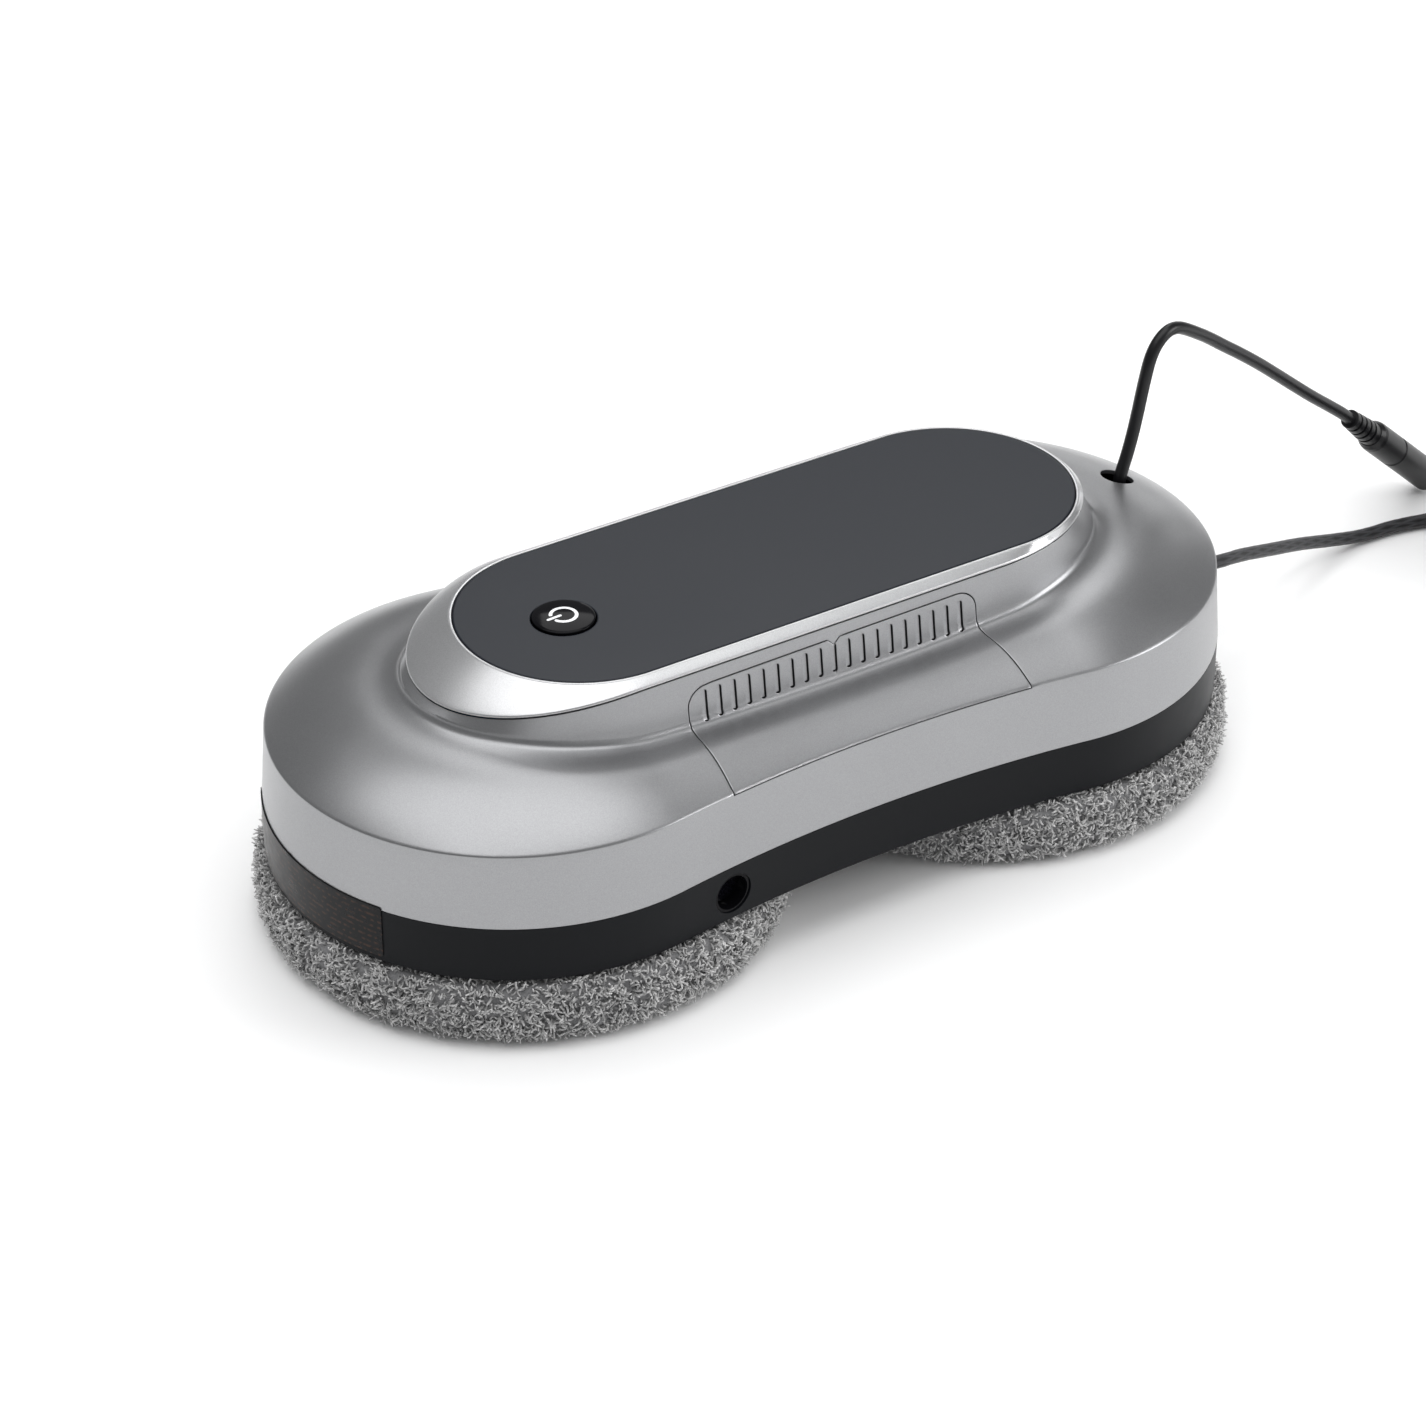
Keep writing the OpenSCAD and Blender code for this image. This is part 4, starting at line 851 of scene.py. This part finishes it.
# ---- top shell, vent panels, bezel and glass ---------------------------------------------
SKIN_T = 1.2
SHELL_EDGE, PANEL_EDGE = 0.14, 0.12
SEAM_L = 0.722 * NECK_Q
SEAM_GAP = 0.28
SEAM_TOP_Z, SEAM_TOP_LEAN = 76.2, 0.45
PANEL_LOW = RIM + 0.1
CORNER_R = 6.0
ROUND_STEPS, HOLE_STEPS = 331, 40
SLOT_LOW_Z, SLOT_HIGH_Z = (66.3, -0.8), (74.8, -0.4)  # at the middle, and change to a seam
RIM_ROWS = [RIM + 0.28 * i for i in range(1, 6)]
SLOPE_ROWS = list(np.linspace(SLOPE, FOOT, 20)[1:])
FOOT_ROWS = list(np.linspace(FOOT, NECK, 9)[1:])


def panel_top(l, mid):
    """The height h of a panel's upper seam at distance l, on the side whose middle is mid."""
    x = (l - mid) * (1 if mid == 0 else -1)
    return height_at(l, SEAM_TOP_Z + SEAM_TOP_LEAN * x / SEAM_L)


def panel_outline(mid, grow):
    """A vent panel's border, anticlockwise, grown outwards by grow."""
    side = SEAM_L + grow
    low = PANEL_LOW - grow
    r = CORNER_R + grow
    top_r = panel_top(mid + side, mid) + grow
    top_l = panel_top(mid - side, mid) + grow
    pts = [(mid + l, low) for l in np.linspace(-side, side, 48)[:-1]]
    pts += [(mid + side, h) for h in np.linspace(low, top_r - r, 26)[:-1]]
    pts += arc_points(mid + side - r, top_r - r, r, 0, 90, 9)[:-1]
    for l in np.linspace(side - r, -(side - r), 41)[:-1]:
        pts.append((mid + l, panel_top(mid + l, mid) + grow))
    pts += arc_points(mid - side + r, top_l - r, r, 90, 180, 9)[:-1]
    pts += [(mid - side, h) for h in np.linspace(top_l - r, low, 26)[:-1]]
    return pts


def slope_place(goal):
    """The place (l, h) on the slope of the far end that lies above the point goal."""
    probe, pace = 0.05, 0.8
    place = np.array([QUARTER, (SLOPE + FOOT) / 2])
    for _ in range(30):
        here = shell_points(*place)[:2]
        dl = (shell_points(place[0] + probe, place[1])[:2] - here) / probe
        dh = (shell_points(place[0], place[1] + probe)[:2] - here) / probe
        place = place + pace * np.linalg.solve(np.column_stack([dl, dh]), goal - here)
    return tuple(place)


def lead_hole_loop():
    """Border of the lead's hole, clockwise, as places (l, h) on the slope."""
    pts = []
    for k in range(HOLE_STEPS):
        a = -2 * math.pi * k / HOLE_STEPS
        spoke = LEAD_HOLE_R * np.array([math.cos(a), math.sin(a)])
        pts.append(slope_place(np.array(LEAD_HOLE) + spoke))
    return pts


def make_top_shell():
    """The shell runs right round, cut open and joined at the tip of the button's end."""
    ends = -QUARTER, AROUND - QUARTER
    rows = list(np.linspace(0, RIM, 8)) + RIM_ROWS + SLOPE_ROWS + FOOT_ROWS
    rows += list(np.linspace(NECK, TOP, 8)[1:])
    rows = sorted(set(round(r, 4) for r in rows))
    ls = np.linspace(*ends, ROUND_STEPS)
    outline = [(l, rows[0]) for l in ls[:-1]] + [(ends[1], h) for h in rows[:-1]]
    outline += [(l, rows[-1]) for l in ls[::-1][:-1]] + [(ends[0], h) for h in rows[::-1][:-1]]
    holes = [panel_outline(mid, SEAM_GAP)[::-1] for mid in (0, 2 * QUARTER)]
    holes.append(lead_hole_loop())
    grid = np.array([(l, h) for l in ls[1:-1] for h in rows[1:-1]])
    keep = away_from(grid, [outline, *holes], 0.2)
    # The walls of the holes for the panels and the lead take the dark material, which paints their
    # shade.
    shell = patch("top_shell_moulding", outline, holes, keep, shell_surface, SKIN_T,
                  SHELL_EDGE, [SILVER, PAINTED_SHADE_WALL], ends)
    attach(shell, "machine")
    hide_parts("top_shell")


def slot_ends(l, mid):
    x = abs(l - mid) / SEAM_L
    return [height_at(l, middle + change * x) for middle, change in (SLOT_LOW_Z, SLOT_HIGH_Z)]


def slot_loop(l, mid):
    """A slot's border, clockwise."""
    low, high = slot_ends(l, mid)
    r = SLOT_W / 2
    up = np.linspace(low + r, high - r, 8)[1:-1]
    down = np.linspace(high - r, low + r, 8)[1:-1]
    pts = arc_points(l, low + r, r, 180, 360, 7) + [(l + r, h) for h in up]
    pts += arc_points(l, high - r, r, 0, 180, 7) + [(l - r, h) for h in down]
    return pts[::-1]


def louvre(l, mid):
    """The slanted strip behind a slot, which leaves a dark gap on its lead side."""
    low, high = slot_ends(l, mid)
    side = 1 if mid == 0 else -1
    section = ((-1.0, 0.28), (0.45, 0.5), (0.45, 1.0), (-1.0, 0.8))  # across the slot, and in
    hs = np.linspace(low + 0.6, high + 0.2, 12)
    verts = []
    for h in hs:
        for across, down in section:
            p, n = shell_surface([(l + side * across, h)])
            verts.append(p[0] - n[0] * down)
    faces = grid_faces(len(hs), len(section), False, True)
    faces += [(0, 1, 2, 3), tuple(len(verts) - 1 - k for k in range(4))]
    return mesh_piece("louvre", verts, faces, [SILVER, PAINTED_SHADE_WALL], 40, 1e-6)


def make_vent_panel(name, mid, node_name):
    outline = panel_outline(mid, 0)
    places = [mid + (i - (SLOTS - 1) / 2) * SLOT_PITCH for i in range(SLOTS)]
    holes = [slot_loop(l, mid) for l in places]
    rows = [PANEL_LOW] + RIM_ROWS + SLOPE_ROWS + FOOT_ROWS
    rows += list(np.linspace(NECK, TOP, 15)[1:])
    grid = np.array([(mid + l, h) for l in np.linspace(-SEAM_L, SEAM_L, 61) for h in rows])
    keep = away_from(grid, [outline, *holes], 0.28)
    # The slots' walls take the dark material, which paints the shade inside them.
    panel = patch(name, outline, holes, keep, shell_surface, SKIN_T, PANEL_EDGE,
                  [SILVER, PAINTED_SHADE_WALL])
    panel = join_pieces(name, [panel] + [louvre(l, mid) for l in places])
    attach(panel, "machine")
    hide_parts(node_name)


BEZEL_STEPS = 360
LIP = 1.15  # width of the bezel's crest round the glass
BEZEL_BULGE = 0.03  # height of the face's bulge, as a share of its width


def bezel_rows(side, q):
    """Up the outer face, round the lip, and back down inside, as rows of (xy, z)."""
    low = bezel_low(side, q)
    edge = bezel_xy(side, q, 0.32)
    crest = glass_xy(side, q, -LIP)
    face_low = low + 0.85
    top = GLASS_Z - 0.06
    rows = [(bezel_xy(side, q, 1.5), low + 0.12), (bezel_xy(side, q, 0.35), low)]
    for a in (30, 60, 90):
        b = math.radians(a)
        rows.append((bezel_xy(side, q, 0.3 - 0.3 * math.sin(b)), low + 0.3 - 0.3 * math.cos(b)))
    rows.append((bezel_xy(side, q, 0.05), low + 0.52))
    rows.append((bezel_xy(side, q, 0.2), low + 0.75))
    span = np.linalg.norm(crest - edge, axis=-1)
    for t in np.linspace(0, 1, 15):
        bulge = BEZEL_BULGE * span * 4 * t * (1 - t)
        rows.append((edge + (crest - edge) * t, face_low + (top - 0.12 - face_low) * t + bulge))
    for out, down in ((LIP - 0.07, 0.16), (LIP - 0.13, 0.05), (LIP - 0.25, 0), (0.45, -0.01),
                      (0.3, 0.05), (0.22, 0.2), (0.22, 2.3)):
        rows.append((glass_xy(side, q, -out), top - down + 0 * q))
    inner, inner_z = glass_xy(side, q, -0.22), top - 2.3
    low_in = bezel_xy(side, q, 1.5)
    for t in (0.3, 0.65):
        z = inner_z + (low + 0.12 - inner_z) * t - 0.2 * span * t * (1 - t)
        rows.append((inner + (low_in - inner) * t, z))
    return rows


def make_bezel():
    sx, sy, q = station(np.arange(BEZEL_STEPS) / BEZEL_STEPS * AROUND)
    grid = np.stack([with_z(xy, z) for xy, z in bezel_rows(sx, q)], axis=1)
    grid[..., 0] *= sx[:, None]
    grid[..., 1] *= sy[:, None]
    faces = grid_faces(*grid.shape[:2], True, True)
    bezel = mesh_piece("bezel_ring_moulding", grid.reshape(-1, 3), faces, [BEZEL_SILVER], 38, 1e-7)
    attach(bezel, "machine")
    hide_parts("bezel_ring")


def glass_surface(points):
    points = np.asarray(points, float)
    return with_z(points, GLASS_Z - 0.05), np.tile((0.0, 0.0, 1.0), (len(points), 1))


def make_glass():
    sx, sy, q = station(np.arange(240) / 240 * AROUND)
    outline = glass_xy(sx, q, 0.0) * np.column_stack([sx, sy])
    hole = arc_points(-BUTTON_X, 0, BUTTON_R + 0.4, 0, -360, 97)[:-1]
    grid = np.array([(x, y) for x in np.arange(-96, 108, 6.0) for y in np.arange(-30, 31, 6.0)])
    keep = away_from(grid, [outline, hole], 3)
    glass = patch("glass_top", outline, [hole], keep, glass_surface, 2.1, 0.3, [GLASS])
    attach(glass, "machine")
    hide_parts("glass_panel")


make_top_shell()
make_vent_panel("front_vent_moulding", 0.0, "vent_panel_front")
make_vent_panel("back_vent_moulding", 2 * QUARTER, "vent_panel_back")
make_bezel()
make_glass()


# ---- power button ------------------------------------------------------------------------
DOME_R = 68.0
DOME_Z = GLASS_Z + 1.05 - DOME_R
BUTTON_STEPS = 96
MARK_R, MARK_STROKE = 3.5, 1.0
MARK_OPEN = (-154.0, 153.0)  # the ring's ends, in degrees
MARK_BAR = (-BUTTON_X - 4.75, -BUTTON_X - 1.1)


def dome_surface(points):
    """Points and outward normals just above the button's crown at 2-D places (x, y)."""
    points = np.asarray(points, float)
    away = points - np.array([-BUTTON_X, 0.0])
    up = np.sqrt(DOME_R**2 - np.sum(away**2, axis=1))
    return with_z(points, DOME_Z + up + 0.05), with_z(away, up) / DOME_R


def make_button():
    edge_z = DOME_Z + math.sqrt(DOME_R**2 - BUTTON_R**2)
    skirt, flange = BUTTON_R - 0.3, BUTTON_R + 1.2
    profile = [(0, 77.7), (3, 77.7), (3, 79), (flange, 79), (flange, 80.2), (skirt, 80.2),
               (skirt, GLASS_Z), (BUTTON_R - 0.02, GLASS_Z + 0.12), (BUTTON_R, edge_z - 0.3)]
    for a in (20, 40, 60, 80):
        b = math.radians(a)
        profile.append((BUTTON_R - 0.35 * (1 - math.cos(b)), edge_z - 0.3 + 0.3 * math.sin(b)))
    start = math.asin((BUTTON_R - 0.5) / DOME_R)
    for a in np.linspace(start, 0, 16):
        profile.append((DOME_R * math.sin(a), DOME_Z + DOME_R * math.cos(a)))
    turn = np.arange(BUTTON_STEPS)[:, None] / BUTTON_STEPS * 2 * math.pi
    points = lathed(-BUTTON_X, *np.array(profile).T, turn).reshape(-1, 3)
    faces = grid_faces(BUTTON_STEPS, len(profile), True, False)
    button = mesh_piece("button_cap", points, faces, [GLOSS], 35, 1e-6)
    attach(button, "button")
    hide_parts("power_button")


def ring_end(angle, start):
    """The round end of the mark's ring, from the angle start on."""
    a = math.radians(angle)
    centre = (-BUTTON_X + MARK_R * math.cos(a), MARK_R * math.sin(a))
    return arc_points(*centre, MARK_STROKE / 2, start, start + 180, 9)[1:-1]


def make_power_mark():
    """The usual ring and bar, raised a little on the button."""
    half, (first, last), (far, near) = MARK_STROKE / 2, MARK_OPEN, MARK_BAR
    ring = arc_points(-BUTTON_X, 0, MARK_R + half, first, last, 61) + ring_end(last, last)
    ring += arc_points(-BUTTON_X, 0, MARK_R - half, last, first, 61)
    ring += ring_end(first, first + 180)
    bar_r = half * 0.92
    bar = arc_points(far, 0, bar_r, 90, 270, 9) + arc_points(near, 0, bar_r, -90, 90, 9)
    steps = np.arange(-6, 6, 0.5)
    grid = np.array([(x, y) for x in steps - BUTTON_X for y in steps])
    parts = []
    for name, outline in (("ring", ring), ("bar", bar)):
        keep = away_from(grid, [outline], 0.2)
        parts.append(patch("mark_" + name, outline, [], keep, dome_surface, 0.09, 0.03, [MARK]))
    mark = join_pieces("power_mark", parts)
    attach(mark, "button")


# ---- label -------------------------------------------------------------------------------
def label_surface(points):
    """The band's outside at 2-D places: distance round the plain end, and height."""
    points = np.asarray(points, float)
    r = END_R + 0.3
    a = np.pi + points[:, 0] / r
    out = np.column_stack([np.cos(a), np.sin(a), 0 * a])
    return with_z(r * out[:, :2] + np.array([-END_X, 0.0]), points[:, 1]), out


def make_label():
    half, low, high, r = 35.2, 21.5, 37.2, 0.8
    left, right = r - half, half - r
    corners = arc_points(right, low + r, r, -90, 0, 5) + arc_points(right, high - r, r, 0, 90, 5)
    corners += arc_points(left, high - r, r, 90, 180, 5)
    corners += arc_points(left, low + r, r, 180, 270, 5)
    outline = []
    for a, b in zip(corners, corners[1:] + corners[:1]):
        count = max(1, int(math.dist(a, b) / 2))
        step = (np.array(b) - a) / count
        outline += [tuple(np.array(a) + step * i) for i in range(count)]
    across, up = np.arange(-half, half, 1.5), np.arange(low, high, 3.0)
    keep = away_from(np.array([(x, y) for x in across for y in up]), [outline], 0.8)
    label = patch("rating_film", outline, [], keep, label_surface, 0.22, 0.05, [LABEL])
    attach(label, "machine")
    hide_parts("rating_label")


# ---- plush pads --------------------------------------------------------------------------
CURLS, PILE_PARTS = 19200, 3
JOINTS, SIDES = 5, 3
CEILING_Z, FLOOR_Z = 19.2, 0.15


def pad_profile():
    """Half section of the pad's backing, 2 mm inside its outline, as (r, z) pairs."""
    inner, outer = PAD_BORE_R + 1.5, PAD_R - 2.4
    return np.array([
        (inner, 5.5), (inner, 3.2), (inner + 1.2, 2.2), (inner + 5, 2.0), (58, 2.0), (66, 2.0),
        (outer - 3, 2.1), (outer - 1, 3.2), (outer, 5.5), (outer, 10.0), (outer, 14.0),
        (outer - 0.8, 16.2), (outer - 2.6, 17.4), (67, 17.6), (63, 17.5), (62, 17.0), (62, 16.9),
    ])


def pad_backing(side_name, cx):
    """The pad's foam backing, a closed ring with a lumpy outside."""
    r, z = pad_profile().T[:, None, :]
    count = 144
    turn = (np.arange(count) / count * 2 * np.pi)[:, None]
    lump = 0.35 * np.sin(turn * 9 + z) + 0.25 * np.sin(turn * 23)
    r = r + lump * (z < 17)
    faces = grid_faces(*r.shape, True, True)
    points = lathed(cx, r, z, turn).reshape(-1, 3)
    return mesh_piece(side_name + "_pad_backing", points, faces, [BACKING], None, 1e-7)


def pad_roots(rng, cx):
    """Roots and outward normals of the pad's curls, thinner on its underside."""
    profile = pad_profile()
    steps = np.diff(profile, axis=0)
    lengths = np.linalg.norm(steps, axis=1)
    mid_r = (profile[1:, 0] + profile[:-1, 0]) / 2
    density = np.where(profile[1:, 1] <= 2.2, 0.35, 1.0)
    density[-2:] = 0.0
    weight = lengths * mid_r * density
    pick = rng.choice(len(weight), CURLS, p=weight / weight.sum())
    at = profile[pick] + steps[pick] * rng.random(CURLS)[:, None]
    out = np.column_stack([steps[pick][:, 1], -steps[pick][:, 0]]) / lengths[pick][:, None]
    a = rng.random(CURLS) * 2 * np.pi
    roots = np.column_stack([cx + at[:, 0] * np.cos(a), at[:, 0] * np.sin(a), at[:, 1]])
    normals = np.column_stack([out[:, 0] * np.cos(a), out[:, 0] * np.sin(a), out[:, 1]])
    return roots - normals * 0.5, normals


def any_way(rng, n):
    return unit_rows(rng.normal(size=(n, 3)))


def turned(v, axis, angle):
    """Rows of v turned about rows of axis."""
    c, s = np.cos(angle)[:, None], np.sin(angle)[:, None]
    dot = np.sum(v * axis, axis=1)[:, None]
    return v * c + np.cross(axis, v) * s + axis * dot * (1 - c)


def tufts(roots):
    """The way the pile leans at each root, which neighbouring curls share, and its shade."""
    x, y, z = (roots * 0.95).T
    lean = np.column_stack([
        np.sin(1.3 * x + 1.1 * np.sin(0.9 * y) + 0.7 * z),
        np.sin(1.2 * y + 1.3 * np.sin(1.1 * z) + 0.8 * x + 2.0),
        np.sin(1.4 * z + 1.2 * np.sin(1.0 * x) + 0.9 * y + 4.0),
    ])
    clump = 0.5 + 0.25 * (np.sin(0.8 * x + 1.9 * np.sin(0.5 * y)) + np.sin(1.1 * z + 0.7 * y))
    return lean, clump


def curls(rng, roots, normals):
    """Curled tapering loops of pile from roots: points for each curl, and their tones with painted
    shade at the roots and painted light at the tips.
    """
    n = len(roots)
    length = rng.uniform(2.6, 4.7, n)
    droop = np.array([0, 0, -0.18])
    lean, clump = tufts(roots)
    way = unit_rows(normals + 0.5 * lean + 0.5 * any_way(rng, n) + droop)
    axis = unit_rows(np.cross(way, any_way(rng, n)))
    bend = rng.uniform(0.25, 0.75, n) * np.where(rng.random(n) < 0.5, 1, -1)
    twist = unit_rows(axis + 0.5 * any_way(rng, n))
    thick = rng.uniform(0.25, 0.38, n)
    own = np.clip(0.30 + 0.24 * clump + rng.normal(0, 0.12, n), 0.03, 0.8)
    side = unit_rows(np.cross(way, any_way(rng, n)))
    rings, tones_and_root_shade = [], []
    p, d = roots.copy(), way
    for j in range(JOINTS):
        t = j / (JOINTS - 1)
        r = thick * (0.9 + 0.3 * math.sin(math.pi * min(1, t * 1.3)) - 0.8 * max(0, t - 0.7))
        other = np.cross(d, side)
        for s in range(SIDES):
            a = 2 * math.pi * s / SIDES
            spoke = (r * math.cos(a))[:, None] * side + (r * math.sin(a))[:, None] * other
            rings.append(p + spoke)
            # Each curl's tone, painted darker towards the root as shade deep in the pile and
            # lighter at the tip as light on it.
            tones_and_root_shade.append(own * (0.15 + 0.85 * t) + 0.34 * t * t)
        p = p + d * (length / JOINTS)[:, None]
        d = turned(d, axis, bend)
        axis = turned(axis, twist, np.full(n, 0.25))
        side = unit_rows(side - d * np.sum(side * d, axis=1)[:, None])
    return np.stack(rings, axis=1), np.stack(tones_and_root_shade, axis=1).reshape(-1)


def pressed_in(verts, cx):
    """The pile's points kept above the floor, under the case and near the pad's width."""
    verts[..., 2] = np.maximum(verts[..., 2], FLOOR_Z)
    centre = np.array([cx, 0.0])
    away = verts[..., :2] - centre
    reach = np.linalg.norm(away, axis=-1)
    shrink = np.minimum(1, (PAD_R + 2.2) / np.maximum(reach, 1))
    verts[..., :2] = centre + away * shrink[..., None]
    under_case = reach < END_R + 0.6
    verts[..., 2] = np.where(under_case, np.minimum(verts[..., 2], CEILING_Z), verts[..., 2])
    return verts.reshape(-1, 3)


def curl_faces(n):
    """The sides of n curls, and the triangle at each one's tip."""
    base = (np.arange(n) * JOINTS * SIDES)[:, None]
    quads = []
    for j in range(JOINTS - 1):
        for s in range(SIDES):
            k = (s + 1) % SIDES
            corner = [j * SIDES + s, j * SIDES + k, (j + 1) * SIDES + k, (j + 1) * SIDES + s]
            quads.append(base + np.array([corner]))
    last = (JOINTS - 1) * SIDES
    tips = base + np.array([[last, last + 1, last + 2]])
    return np.concatenate(quads).tolist() + tips.tolist()


def pad_pile(name, rng, roots, normals, cx):
    verts, shade = curls(rng, roots, normals)
    pile = mesh_piece(name, pressed_in(verts, cx), curl_faces(len(roots)), [PLUSH])
    # The shade attribute holds the tones with the painted root shade and tip light.
    pile.data.attributes.new("shade", "FLOAT", "POINT").data.foreach_set("value", shade)
    return pile


def make_pad(side_name, cx, seed):
    rng = np.random.default_rng(seed)
    backing = pad_backing(side_name, cx)
    roots, normals = pad_roots(rng, cx)
    pieces = [backing]
    for k in range(PILE_PARTS):
        some = slice(k, None, PILE_PARTS)
        name = side_name + "_pad_pile_" + str(k + 1)
        pieces.append(pad_pile(name, rng, roots[some], normals[some], cx))
    for piece in pieces:
        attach(piece, side_name + "_disc_unit")
        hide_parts(side_name + "_pad")


make_button()
make_power_mark()
make_label()
make_pad("left", -DISC_X, 11)
make_pad("right", DISC_X, 12)


# ---- finishes of the CAD nodes that stay -------------------------------------------------
FINISHES = (
    (CHARCOAL, "lower_case left_disc right_disc"),
    (INNER, "button_guide mid_frame board_parts battery_holder power_parts"),
    (STEEL, "tact_switch case_screws motor_screws gear_axles carabiner carabiner_gate"),
    (STEEL, "left_shaft right_shaft left_disc_screw right_disc_screw"),
    (WHITE, "duct_cover fan_housing fan_wheel"),
    (WHITE, "left_middle_gear right_middle_gear left_output_gear right_output_gear"),
    (RUBBER, "lead_gland rope_anchor lead_strain_relief dc_socket"),
    (CAN, "fan_motor left_motor right_motor"),
    (BOARD, "main_board power_board"),
    (BRASS, "board_posts left_pinion right_pinion"),
    (BRONZE, "left_bushing right_bushing"),
    (FELT, "left_seal right_seal"),
    (HOOKS, "left_hook_ring right_hook_ring"),
    (SLEEVE, "battery_cells"),
    (GLOSS, "sensor_housing"),
    (LENS, "sensor_lens"),
)
for finish, names in FINISHES:
    for name in names.split():
        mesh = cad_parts[name].data
        if not mesh.materials:
            mesh.materials.append(finish)
        for k in range(len(mesh.materials)):
            mesh.materials[k] = finish
